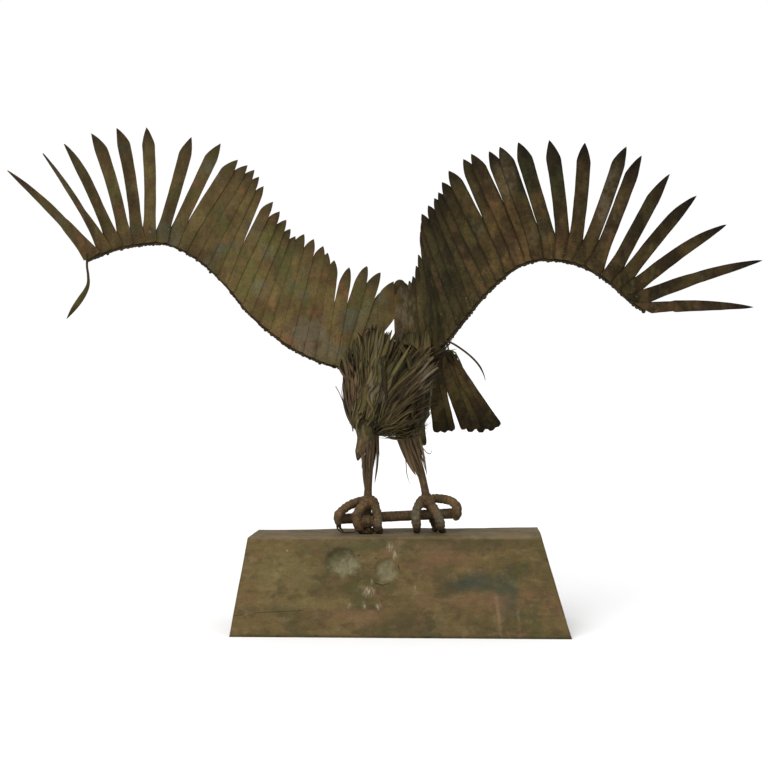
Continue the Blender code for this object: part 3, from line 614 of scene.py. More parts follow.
class Former(Board):
    """A Geometry Nodes tree with named sizes. It ends in Realize Instances and Set Material."""

    KINDS = {float: "NodeSocketFloat", int: "NodeSocketInt", str: "NodeSocketMaterial"}

    def __init__(self, name, sizes):
        super().__init__(bpy.data.node_groups.new(name, "GeometryNodeTree"))
        face = self.tree.interface
        face.new_socket("Geometry", in_out="INPUT", socket_type="NodeSocketGeometry")
        self.keys = {}
        for size, value in {**sizes, "Finish": ""}.items():
            socket = face.new_socket(size, in_out="INPUT", socket_type=self.KINDS[type(value)])
            if size != "Finish":
                socket.default_value = value
            self.keys[size] = socket.identifier
        face.new_socket("Geometry", in_out="OUTPUT", socket_type="NodeSocketGeometry")
        self.given = self.node("NodeGroupInput")

    def __getitem__(self, size):
        return self.given.out(size)

    def read(self, name, kind="FLOAT"):
        settings = {"data_type": kind}
        return self.node("GeometryNodeInputNamedAttribute", settings, {"Name": name})

    def store(self, geometry, name, value):
        settings = {"data_type": "FLOAT", "domain": "POINT"}
        inputs = {"Geometry": geometry, "Name": name, "Value": value}
        return self.node("GeometryNodeStoreNamedAttribute", settings, inputs)

    def position(self):
        return self.node("GeometryNodeInputPosition")

    def lines(self):
        """The source mesh's edge chains as curves."""
        return self.node("GeometryNodeMeshToCurve", None, {0: self.given})

    def ring(self):
        sizes = {"Resolution": self["Sides"], "Radius": 1.0}
        return self.node("GeometryNodeCurvePrimitiveCircle", None, sizes)

    def swept(self, line, profile):
        """The profile carried along each line, as wide as the line's half width says."""
        inputs = {"Curve": line, "Profile Curve": profile, "Fill Caps": True}
        inputs["Scale"] = self.read("half_width")
        return self.node("GeometryNodeCurveToMesh", None, inputs)

    def wave(self, place, size, seed):
        """Smooth noise from -1 to 1, about this size, at a place."""
        settings = {"noise_dimensions": "4D"}
        inputs = {"Vector": place, "W": seed, "Scale": 1 / size, "Detail": 1.0}
        return (self.node("ShaderNodeTexNoise", settings, inputs) - 0.5) * 2.0

    def finished(self, geometry):
        whole = self.node("GeometryNodeRealizeInstances", None, {0: geometry})
        inputs = {"Geometry": whole, "Material": self["Finish"]}
        coloured = self.node("GeometryNodeSetMaterial", None, inputs)
        end = self.tree.nodes.new("NodeGroupOutput")
        self.plug(end.inputs[0], coloured)
        return self

    def form(self, source, finish, **sizes):
        """The plain mesh that the tree makes from a source mesh."""
        carrier = bpy.data.objects.new("carrier", source)
        bpy.context.scene.collection.objects.link(carrier)
        modifier = carrier.modifiers.new("form", "NODES")
        modifier.node_group = self.tree
        modifier[self.keys["Finish"]] = finish
        for size, value in sizes.items():
            modifier[self.keys[size.replace("_", " ")]] = value
        evaluated = carrier.evaluated_get(bpy.context.evaluated_depsgraph_get())
        mesh = bpy.data.meshes.new_from_object(evaluated)
        bpy.data.objects.remove(carrier)
        return mesh


# Guides --------------------------------------------------------------------------------


def shares(steps):
    """Even shares of a length, from 0 to 1."""
    return [n / steps for n in range(steps + 1)]


def eased(guide, key):
    """The value at key on the smooth curve through a guide's (key, value) pairs."""
    keys = [pair[0] for pair in guide]
    values = [pair[1] for pair in guide]
    key = min(max(key, keys[0]), keys[-1])
    i = max(n for n in range(len(keys) - 1) if keys[n] <= key)
    span = keys[i + 1] - keys[i]
    before, after = max(i - 1, 0), min(i + 2, len(keys) - 1)
    slope_in = (values[i + 1] - values[before]) / (keys[i + 1] - keys[before])
    slope_out = (values[after] - values[i]) / (keys[after] - keys[i])
    t = (key - keys[i]) / span
    start = values[i] * (1 - t) ** 2 * (1 + 2 * t) + slope_in * span * t * (1 - t) ** 2
    end = values[i + 1] * t**2 * (3 - 2 * t) - slope_out * span * t**2 * (1 - t)
    return start + end


class Route:
    """A smooth line through points, read by the distance along it."""

    def __init__(self, points, samples=240):
        spots = [Vector(point) for point in points]
        self.guide = [(0.0, spots[0])]
        for last, spot in zip(spots, spots[1:]):
            self.guide.append((self.guide[-1][0] + (spot - last).length, spot))
        end = self.guide[-1][0]
        line = [eased(self.guide, end * n / samples) for n in range(samples + 1)]
        self.table = [(0.0, 0.0)]
        for n in range(samples):
            step = (line[n + 1] - line[n]).length
            self.table.append((self.table[-1][0] + step, end * (n + 1) / samples))
        self.length = self.table[-1][0]

    def key(self, distance):
        distance = min(max(distance, 0.0), self.length)
        for (low, key_low), (high, key_high) in zip(self.table, self.table[1:]):
            if distance <= high:
                return key_low + (key_high - key_low) * (distance - low) / (high - low)
        return self.table[-1][1]

    def at(self, distance):
        return eased(self.guide, self.key(distance))

    def along(self, distance):
        ahead = self.at(distance + 0.002)
        behind = self.at(distance - 0.002)
        return (ahead - behind).normalized()


# Pieces --------------------------------------------------------------------------------


def piece(name, mesh, replaced=(), sharp=None):
    """A finished mesh, given from the plinth's middle, as a piece of the frame's one body."""
    mesh.transform(Matrix.Translation(FOOT))
    made = bpy.data.objects.new(name, mesh)
    bpy.context.scene.collection.objects.link(made)
    mesh.shade_smooth()
    if sharp:
        mesh.set_sharp_from_angle(angle=math.radians(sharp))
    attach(made, "root")
    if replaced:
        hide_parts(*replaced)
    return made


def chains(lines):
    """A mesh of edge chains. Each line is a list of (point, half width, lie) tuples."""
    mesh = bpy.data.meshes.new("chains")
    points = [spot for line in lines for spot in line]
    edges = []
    first = 0
    for line in lines:
        edges += [(n, n + 1) for n in range(first, first + len(line) - 1)]
        first += len(line)
    mesh.from_pydata([tuple(point) for point, _, _ in points], edges, [])
    numbers = [n for n, line in enumerate(lines) for _ in line]
    kept = {
        "half_width": [half for _, half, _ in points],
        "number": numbers,
        "layer": [n / len(lines) for n in numbers],
    }
    for name, values in kept.items():
        mesh.attributes.new(name, "FLOAT", "POINT").data.foreach_set("value", values)
    lie = mesh.attributes.new("lie", "FLOAT_VECTOR", "POINT")
    lie.data.foreach_set("vector", [number for _, _, out in points for number in out])
    return mesh


def cleaned(mesh):
    """Merges the seams of a mesh and turns its faces outwards."""
    form = bmesh.new()
    form.from_mesh(mesh)
    bmesh.ops.remove_doubles(form, verts=form.verts, dist=SEAM)
    bmesh.ops.recalc_face_normals(form, faces=form.faces)
    form.to_mesh(mesh)
    form.free()
    return mesh


def mesh_of(form, name, finish):
    """The mesh of a bmesh that is complete, with its finish."""
    mesh = bpy.data.meshes.new(name)
    form.to_mesh(mesh)
    form.free()
    mesh.materials.append(finish)
    return mesh


def bridge(form, rows):
    """Faces between each ring of corners and the next."""
    for low, high in zip(rows, rows[1:]):
        for n in range(len(low)):
            m = (n + 1) % len(low)
            form.faces.new([low[n], low[m], high[m], high[n]])


def blade_former():
    """One flat iron strip: x across, z from its root to its point, cut to the rod's slope."""
    sizes = {
        "Length": 0.27, "Width": STRIP_WIDTH, "Thickness": STRIP_THICKNESS, "Point Length": POINT_LENGTH,
        "Point Curve": 1.7, "Point Fullness": 1.0, "Root Breadth": 1.0, "Tip Breadth": TIP_BREADTH,
        "Root Slant": 0.0, "Bow": 0.0, "Twist": 0.0, "Scallop": 0.0, "Skew": 0.0, "Flare": 0.0,
        "Square": 0.012, "Seed": 0.0,
    }
    crowding, root_reach, flare_reach, twist_reach = 1.35, 0.30, 0.26, 0.35
    edge_wear, surface_lumps, long_bend, corner_rise = 0.0011, 0.0006, 0.0022, 0.0035
    tree = Former("blade", sizes)
    cube = {"Size": (1, 1, 1), "Vertices X": 9, "Vertices Y": 2, "Vertices Z": 40}
    stock = tree.node("GeometryNodeMeshCube", None, cube)
    side, front, height = tree.split(tree.position())
    along = 1.0 - (1.0 - (height + 0.5)) ** crowding
    seed, width = tree["Seed"], tree["Width"]

    shoulder = 1.0 - tree["Point Length"] / tree["Length"]
    in_point = tree.clamp((along - shoulder) / (1.0 - shoulder))
    point = (1.0 - in_point ** tree["Point Curve"]) ** tree["Point Fullness"]
    taper = tree.clamp((along - root_reach) / (shoulder - root_reach)) ** 1.7
    breadth = tree["Root Breadth"] + (tree["Tip Breadth"] - tree["Root Breadth"]) * taper
    breadth = breadth + tree["Flare"] * (1.0 - tree.clamp(along / flare_reach)) ** 1.6
    lean_over = tree["Skew"] * width * 0.5 * breadth * (1.0 - point)
    breadth = breadth * point.math("MAXIMUM", tree["Square"])

    edge = abs(side) * 2.0
    worn_edge = tree.wave(tree.combine(side * 1.6, 0.0, along * 7.0), 1.0, seed) * edge_wear
    x = side * width * breadth + worn_edge * edge * side * 2.0
    x = x + tree["Bow"] * (along * math.pi).math("SINE") + lean_over

    thickness = tree["Thickness"] * (1.0 - 0.72 * edge**6.0)
    lumps = tree.wave(tree.combine(side * 1.2, 0.0, along * 5.0), 1.0, seed + 7.0)
    bend = tree.wave(tree.combine(0.0, 0.0, along * 1.6), 1.0, seed + 3.0)
    y = front * thickness + lumps * surface_lumps + bend * along * long_bend

    near_root = 1.0 - tree.clamp(along / root_reach)
    z = along * tree["Length"] + side * width * tree["Root Slant"] * near_root
    z = z + edge**5.0 * corner_rise * near_root**3.0
    z = z + (side * 4.0 * math.pi).math("COSINE") * tree["Scallop"] * in_point

    turn = tree["Twist"] * tree.clamp(along / twist_reach)
    sine, cosine = turn.math("SINE"), turn.math("COSINE")
    turned = tree.combine(x * cosine + y * sine, y * cosine - x * sine, z)
    geometry = tree.store(stock, "along", along)
    geometry = tree.store(geometry, "across", side * 2.0)
    geometry = tree.store(geometry, "number", seed)
    shaped = {"Geometry": geometry, "Position": turned}
    return tree.finished(tree.node("GeometryNodeSetPosition", None, shaped))


def strip_former():
    """Flat pointed strips, one along each edge chain, lying with the chain's own normal."""
    tree = Former("strips", {"Flatness": 0.16, "Sides": 8})
    laid = {"Curve": tree.lines(), "Normal": tree.read("lie", "FLOAT_VECTOR")}
    line = tree.node("GeometryNodeSetCurveNormal", {"mode": "FREE"}, laid)
    line = tree.store(line, "along", tree.node("GeometryNodeSplineParameter"))
    flat = {"Geometry": tree.ring(), "Scale": tree.combine(tree["Flatness"], 1.0, 1.0)}
    profile = tree.node("GeometryNodeTransform", None, flat)
    profile = tree.store(profile, "across", tree.split(tree.position())[1])
    return tree.finished(tree.swept(line, profile))


def bar_former():
    """A forged round bar along each edge chain, with soft ridges round it and hammer marks."""
    sizes = {"Step": 0.002, "Ridge Depth": 0.04, "Ridge Size": 0.010, "Dents": 0.08, "Sides": 20}
    tree = Former("bar", {**sizes, "Seed": 0.0})
    spaced_out = {"Curve": tree.lines(), "Length": tree["Step"]}
    line = tree.node("GeometryNodeResampleCurve", {"mode": "LENGTH"}, spaced_out)
    share = tree.node("GeometryNodeSplineParameter")
    line = tree.store(line, "along", share)
    line = tree.store(line, "distance", share.out("Length"))
    bar = tree.swept(line, tree.ring())
    place = tree.position()
    distance = tree.read("distance") + tree.wave(place, 0.030, tree["Seed"]) * 0.003
    ridge = (distance * (2 * math.pi) / tree["Ridge Size"]).math("SINE")
    lumps = tree.wave(place, 0.009, tree["Seed"] + 5.0)
    push = ridge * tree["Ridge Depth"] + lumps * tree["Dents"]
    offset = tree.scaled(tree.node("GeometryNodeInputNormal"), push * tree.read("half_width"))
    shaped = {"Geometry": bar, "Offset": offset}
    return tree.finished(tree.node("GeometryNodeSetPosition", None, shaped))


def bead_former():
    """Weld beads strung along each edge chain, of random size and a little off the line."""
    tree = Former("beads", {"Spacing": 0.012, "Radius": 0.0042, "Spread": 0.0016, "Seed": 1})
    strung_out = {"Curve": tree.lines(), "Length": tree["Spacing"]}
    points = tree.node("GeometryNodeCurveToPoints", {"mode": "LENGTH"}, strung_out)
    spread = tree.combine(tree["Spread"], tree["Spread"], tree["Spread"])
    vectors = {"data_type": "FLOAT_VECTOR"}
    ends = {"Min": tree.scaled(spread, -1.0), "Max": spread, "Seed": tree["Seed"]}
    offset = tree.node("FunctionNodeRandomValue", vectors, ends)
    moved = tree.node("GeometryNodeSetPosition", None, {"Geometry": points, "Offset": offset})
    ball = {"Segments": 9, "Rings": 6, "Radius": tree["Radius"]}
    size = {"Min": (0.55, 0.6, 0.8), "Max": (1.15, 1.2, 1.9), "Seed": tree["Seed"]}
    strung = {
        "Points": moved,
        "Instance": tree.node("GeometryNodeMeshUVSphere", None, ball),
        "Rotation": points.out("Rotation"),
        "Scale": tree.node("FunctionNodeRandomValue", vectors, size),
    }
    return tree.finished(tree.node("GeometryNodeInstanceOnPoints", None, strung))


# Finishes ------------------------------------------------------------------------------

OLIVE = tone(88, 75, 43)
UMBER = tone(72, 57, 33)
RUST = tone(98, 70, 45)
MOSS = tone(68, 70, 32)
GREY_GREEN = tone(76, 75, 57)
TAN = tone(112, 88, 55)
PALE = tone(152, 134, 104)
PINK = tone(100, 79, 63)


def strip_finish():
    """Rusted flat strip: olive-brown patina with rust, moss and grey-green patches, painted shade, partly a
    darker patina, over the right wing, painted light on its innermost feathers, and painted shade along the
    blade edges.
    """
    paint = Finish("rusted_strip_patina", 0.10, 0.10)
    along, across, own = paint.attribute("along"), paint.attribute("across"), paint.own()
    right_wing = paint.past("X", -0.03, 0.02)
    inner_right = paint.past("X", 0.090, 0.040)
    outer_right = paint.past("X", 0.34, 0.60)
    outer_left = paint.past("X", -0.36, -0.62)
    tail = paint.past("Z", 0.66, 0.60)
    near_rod = paint.ramp(along, 0.30, 0.10)
    roots = paint.cloud(0.034, 0.48, 0.62, shift=61.0) * near_rod * right_wing
    root_ends = paint.spot((0.060, 0.030, 0.682), (0.052, 0.070, 0.022))
    light_panel = paint.spot((0.047, 0.125, 0.478), (0.024, 0.06, 0.060))
    green = paint.spots([
        (1.0, (0.112, -0.03, 0.840), (0.070, 0.20, 0.150), 0.8),
        (1.2, (0.378, -0.10, 1.110), (0.026, 0.10, 0.130), 0.3),
        (1.1, (0.312, -0.10, 1.130), (0.026, 0.10, 0.080), 0.3),
    ])
    cold = paint.spots([
        (0.8, (-0.095, 0.03, 0.770), (0.052, 0.10, 0.034), 0.5, 0.5),
        (1.0, (-0.084, 0.03, 0.885), (0.018, 0.10, 0.034), 0.5, 0.3),
        (1.0, (-0.577, -0.02, 1.004), (0.036, 0.10, 0.030), 0.5, 0.4),
        (0.7, (-0.360, -0.02, 1.000), (0.024, 0.10, 0.030), 0.5, 0.4),
    ])
    mossy = paint.spots([
        (1.0, (-0.285, 0.0, 0.885), (0.028, 0.10, 0.070)),
        (0.7, (-0.410, -0.02, 0.935), (0.030, 0.10, 0.040)),
    ], 0.5, 0.5)
    grey = paint.spots([
        (1.0, (-0.235, 0.0, 0.735), (0.042, 0.10, 0.034)),
        (0.8, (-0.190, 0.02, 0.690), (0.060, 0.10, 0.022)),
    ], 0.5, 0.5)
    bare = paint.spots([
        (1.0, (0.500, -0.09, 1.070), (0.034, 0.10, 0.100), 0.3),
        (1.0, (0.262, -0.10, 1.120), (0.030, 0.10, 0.050)),
        (1.0, (0.010, 0.120, 0.790), (0.032, 0.06, 0.110)),
    ])
    worn = paint.cloud(0.030, 0.40, 0.60, shift=67.0)
    russet = paint.ramp(own, 0.45, 0.75) * paint.cloud(0.060, 0.40, 0.60, (1, 1, 0.6), 87.0)
    colour = paint.mix(paint.cloud(0.075, 0.38, 0.62), OLIVE, UMBER)
    colour = paint.patches(colour, [
        (0.050, 0.53, 0.62, 5.0, 6.0, 0.65, RUST),
        (0.070, 0.52, 0.61, 11.0, 6.0, 0.50, MOSS),
        (0.070, 0.54, 0.70, 17.0, 4.0, 0.80, GREY_GREEN),
        (0.040, 0.60, 0.74, 23.0, 4.0, 0.55, PINK),
    ])
    colour = paint.layers(colour, [
        (roots * 0.75, TAN),
        (root_ends * 0.6, tone(118, 94, 54)),
        (light_panel * 0.8, tone(150, 138, 84)),
        (right_wing * 0.35, tone(96, 76, 36)),
        (green * 0.7, tone(66, 66, 34)),
        (cold * 0.48, tone(64, 63, 48)),
        (mossy * 0.6, tone(64, 62, 34)),
        (grey * 0.55, tone(92, 85, 68)),
        (bare * worn * 0.8, tone(118, 104, 80)),
        (russet * right_wing * 0.55, tone(88, 62, 42)),
        (tail * 0.35, tone(80, 73, 44)),
    ])
    own_place = paint.vector("ADD", paint.place, paint.combine(own * 3.0, own * 7.0, own * 5.0))
    blotches = paint.cloud(0.045, 0.42, 0.58, (1, 1, 0.6), 51.0, 6.0, own_place)
    streaks = paint.cloud(0.016, 0.35, 0.75, (1, 1, 0.12), 31.0)
    mottle = paint.cloud(0.010, 0.38, 0.62, shift=77.0)
    tip = paint.ramp(along + own * 0.10, 0.74 - right_wing * 0.12, 1.04)
    colour = paint.shade(colour, [
        0.88 + streaks * 0.20 + own * (0.34 + right_wing * 0.14),
        # Painted shade, partly a darker patina: the right wing is darkened as if lit from the left; the
        # next factor paints light back onto its innermost feathers.
        1.0 - right_wing * (0.74 - 0.34 * blotches),
        1.0 + right_wing * inner_right * 0.40,
        1.0 - outer_right * 0.36,
        1.0 + tail * 0.17,
        1.0 - outer_left * (0.50 - 0.22 * blotches),
        1.0 - green * right_wing * 0.34,
        0.84 + paint.grain(0.0040) * 0.34,
        0.92 - right_wing * 0.04 + mottle * (0.16 + right_wing * 0.12),
        1.0 - tip * (0.52 + right_wing * 0.14 + outer_right * 0.14),
        # Painted shade: each blade is darkened along its edges, as the shadow at the laps, far more on the
        # right wing.
        1.0 - abs(across) ** 8.0 * (0.04 + right_wing * 0.62),
    ])
    specks = paint.cloud(0.007, 0.70, 0.76, shift=41.0, detail=2.0)
    colour = paint.mix(specks * (0.10 + near_rod * 0.45), colour, PALE)
    height = paint.grain(0.004) * 0.5 + paint.grain(0.014, (1, 1, 0.4)) + specks * 0.3
    return paint.done(colour, 0.62 + paint.grain(0.010) * 0.22, height, 0.0016)


def rod_finish():
    """The dark rods and their welds, with a few pale weld spots."""
    paint = Finish("dark_welded_rod", 0.15)
    colour = paint.mix(paint.cloud(0.030), tone(38, 30, 16), tone(58, 46, 26))
    colour = paint.patches(colour, [(0.008, 0.64, 0.72, 9.0, 2.0, 0.4, TAN)])
    return paint.done(colour, 0.60 + paint.grain(0.008) * 0.25, paint.grain(0.003), 0.0012)


def forged_finish():
    """Forged bar: dirty brown with grey-green and orange-tan patches on the high places."""
    paint = Finish("forged_bar_patina", 0.12)
    colour = paint.mix(paint.cloud(0.035), tone(70, 54, 34), tone(94, 73, 46))
    colour = paint.patches(colour, [
        (0.022, 0.55, 0.70, 7.0, 4.0, 0.7, RUST),
        (0.030, 0.56, 0.72, 13.0, 4.0, 0.6, MOSS),
    ])
    grey = paint.spots([
        (1.0, (0.035, -0.036, 0.285), (0.016, 0.03, 0.03)),
        (1.0, (0.102, -0.036, 0.275), (0.016, 0.03, 0.026)),
        (0.8, (-0.050, -0.034, 0.262), (0.014, 0.03, 0.018)),
    ])
    mottle = 0.35 + paint.cloud(0.012, 0.40, 0.60, shift=19.0) * 0.55
    colour = paint.mix(grey * mottle, colour, tone(90, 84, 70))
    streaks = paint.cloud(0.005, 0.30, 0.70, (1, 1, 0.25), 27.0)
    rough = paint.cloud(0.0045, 0.36, 0.64, shift=33.0)
    colour = paint.shade(colour, [0.72 + streaks * 0.40, 0.78 + rough * 0.44])
    height = paint.grain(0.0025) * 0.6 + paint.grain(0.008)
    return paint.done(colour, 0.62 + paint.grain(0.008) * 0.22, height, 0.0016)


def leg_finish():
    """Strips of the legs: brown and olive, each with its own tone, with painted shade at the edges and on
    the covered lower layers.
    """
    paint = Finish("leg_strip_patina", 0.08, 0.14)
    across, layer, own = paint.attribute("across"), paint.attribute("layer"), paint.own()
    streaks = paint.cloud(0.005, 0.3, 0.7, (1, 1, 0.25), 27.0)
    colour = paint.mix(paint.ramp(own, 0.2, 0.8), tone(82, 66, 42), tone(70, 54, 34))
    colour = paint.layers(colour, [
        (paint.ramp(paint.own(0.5), 0.6, 0.8) * 0.7, tone(88, 82, 52)),
        (0.35 + own * 0.3, tone(92, 72, 54)),
    ])
    colour = paint.shade(colour, [
        0.64 + own * 0.66 + streaks * 0.2,
        # Painted shade: the covered lower layers are darker, and so is each strip's edge.
        0.60 + 0.40 * paint.ramp(layer, 0.05, 0.60),
        1.0 - abs(across) ** 3.0 * 0.70,
    ])
    height = paint.grain(0.003) * 0.6 + paint.grain(0.008, (1, 1, 0.3))
    return paint.done(colour, 0.62 + paint.grain(0.006) * 0.22, height, 0.0010)


def bundle_finish():
    """Thin strips of the body: each its own brown, green or pinkish grey, with painted shade at the edges
    and on the covered lower layers.
    """
    paint = Finish("bundle_strip_patina", 0.08, 0.12)
    along, across, layer = (paint.attribute(name) for name in ("along", "across", "layer"))
    own, other = paint.own(), paint.own(0.5)
    left = paint.spot((-0.118, -0.06, 0.600), (0.024, 0.10, 0.070)) * 0.75
    low_right = paint.spots([
        (0.80, (0.018, -0.06, 0.556), (0.052, 0.10, 0.050)),
        (0.60, (0.040, -0.06, 0.616), (0.028, 0.10, 0.036)),
    ])
    pale = paint.spots([
        (0.85, (-0.041, -0.100, 0.586), (0.018, 0.05, 0.026)),
        (0.70, (0.074, -0.050, 0.636), (0.022, 0.09, 0.050)),
        (0.60, (-0.064, -0.110, 0.590), (0.007, 0.05, 0.034)),
    ])
    roots = paint.spot((0.048, -0.020, 0.688), (0.050, 0.09, 0.030), 0.4)
    flank = paint.spot((0.066, -0.02, 0.540), (0.030, 0.10, 0.060))
    high = paint.past("Z", 0.665, 0.705)
    colour = paint.mix(paint.ramp(own, 0.1, 0.9), tone(78, 68, 36), tone(90, 76, 48))
    colour = paint.layers(colour, [
        (paint.ramp(other, 0.60, 0.75) * 0.8, tone(74, 71, 41)),
        (paint.cloud(0.045, 0.52, 0.70, shift=4.0) * 0.5, tone(92, 74, 58)),
        (left * (0.35 + other * 0.65), tone(80, 56, 42)),
        (low_right * (0.25 + paint.ramp(other, 0.38, 0.52) * 0.75), tone(52, 38, 30)),
        (pale * (0.40 + own * 0.40), tone(108, 96, 80)),
        (roots * 0.6, tone(98, 82, 50)),
    ])
    # Painted shade: strips of the lower layers, covered by later ones, are darker, less so high on the
    # body, at the wing roots and on the right flank.
    low = 0.22 + high * 0.30 + roots * 0.16 + flank * 0.34
    colour = paint.shade(colour, [
        0.60 + own * 0.46 + paint.cloud(0.006, 0.3, 0.7, (1, 1, 0.3), 21.0) * 0.28,
        low + (1.02 - low) * paint.ramp(layer, 0.20, 0.85),
        1.0 - paint.ramp(along, 0.16, 0.0) * 0.35,
        # Painted shade along each strip's edges, for the dark gaps between strips.
        1.0 - abs(across) ** 2.6 * 0.85,
    ])
    height = paint.grain(0.003) * 0.6 + paint.grain(0.008, (1, 1, 0.3))
    return paint.done(colour, 0.62 + paint.grain(0.006) * 0.25, height, 0.0010)


# The body's core is painted near-black: it stands for the shade inside the bundle, seen through the gaps
# between the strips.
def core_shadow_finish():
    paint = Finish("bundle_shadow", 0.0)
    colour = paint.mix(paint.cloud(0.020), tone(20, 16, 9), tone(34, 27, 15))
    return paint.done(colour, 0.85 + paint.grain(0.010) * 0.1, paint.grain(0.006), 0.002)


def rust_finish():
    paint = Finish("flaked_rust", 0.05, 0.12)
    colour = paint.mix(paint.cloud(0.008, 0.38, 0.62), tone(36, 29, 17), tone(70, 56, 34))
    colour = paint.patches(colour, [(0.006, 0.58, 0.70, 6.0, 4.0, 0.7, tone(96, 88, 66))])
    return paint.done(colour, 0.75 + paint.grain(0.006) * 0.15, paint.grain(0.0025), 0.0020)


def head_finish():
    """Forged head: brown with a mossy brow, a dark beak with a painted highlight, furrowed sides, and
    painted shadow down both sides.
    """
    paint = Finish("forged_head_patina", 0.10)
    colour = paint.mix(paint.cloud(0.020), tone(80, 64, 36), tone(98, 78, 48))
    brow = paint.spot((-0.076, -0.150, 0.503), (0.05, 0.05, 0.016))
    beak = paint.spot((-0.090, -0.165, 0.438), (0.02, 0.03, 0.020))
    # A painted highlight on the beak.
    beak_painted_highlight = paint.spot((-0.0930, -0.170, 0.4530), (0.0035, 0.03, 0.0060))
    colour = paint.layers(colour, [
        (paint.cloud(0.018, 0.52, 0.66, shift=5.0) * 0.7, MOSS),
        (brow * 0.5, tone(66, 64, 30)),
        (beak * 0.7, tone(72, 54, 34)),
        (beak_painted_highlight * 0.6, tone(146, 122, 84)),
    ])
    shadow = paint.spots([
        (1.0, (-0.1015, -0.150, 0.462), (0.0095, 0.05, 0.050)),
        (1.0, (-0.058, -0.140, 0.470), (0.008, 0.05, 0.040)),
    ])
    furrows = paint.cloud(0.006, 0.46, 0.62, (1, 1, 0.22), 31.0)
    strength = 0.66 + paint.cloud(0.004, 0.3, 0.7) * 0.36
    colour = paint.shade(colour, [strength, 1.0 - shadow * 0.65, 1.0 - furrows * 0.35])
    height = paint.grain(0.002) * 0.6 + paint.grain(0.006) - furrows * 0.4
    return paint.done(colour, 0.60 + paint.grain(0.006) * 0.2, height, 0.0014)


# The plinth's stains: raggedness, tone, then weighted spots. The red one is broken up by a cloud.
PLINTH_STAINS = {
    "blue": (0.25, tone(52, 54, 38), [
        (0.85, (0.195, -0.102, 0.130), (0.046, 0.06, 0.022)),
        (0.50, (0.140, -0.102, 0.122), (0.034, 0.06, 0.014)),
        (0.75, (0.262, -0.106, 0.098), (0.026, 0.06, 0.048)),
    ]),
    "dark": (0.45, tone(62, 52, 30), [
        (0.50, (0.150, -0.09, 0.215), (0.110, 0.07, 0.016)),
        (0.45, (0.110, -0.105, 0.120), (0.030, 0.06, 0.030)),
        (0.55, (0.030, -0.120, 0.025), (0.060, 0.06, 0.030)),
        (0.30, (-0.310, -0.110, 0.120), (0.022, 0.06, 0.070)),
        (0.40, (-0.200, -0.100, 0.135), (0.070, 0.06, 0.022)),
    ]),
    "red": (0.45, tone(104, 76, 52), [
        (0.50, (0.215, -0.111, 0.080), (0.060, 0.06, 0.022)),
        (0.50, (0.100, -0.090, 0.198), (0.046, 0.06, 0.016)),
        (0.50, (-0.100, -0.115, 0.050), (0.070, 0.06, 0.020)),
        (0.35, (0.130, -0.115, 0.085), (0.100, 0.06, 0.018)),
    ]),
    "olive": (0.45, tone(104, 90, 54), [
        (0.60, (-0.250, -0.105, 0.150), (0.050, 0.06, 0.050)),
        (0.50, (-0.220, -0.113, 0.080), (0.100, 0.06, 0.016)),
        (0.60, (-0.322, -0.106, 0.150), (0.032, 0.06, 0.055)),
    ]),
    "green": (0.45, tone(72, 67, 36), [(0.60, (-0.140, -0.090, 0.214), (0.100, 0.06, 0.018))]),
}


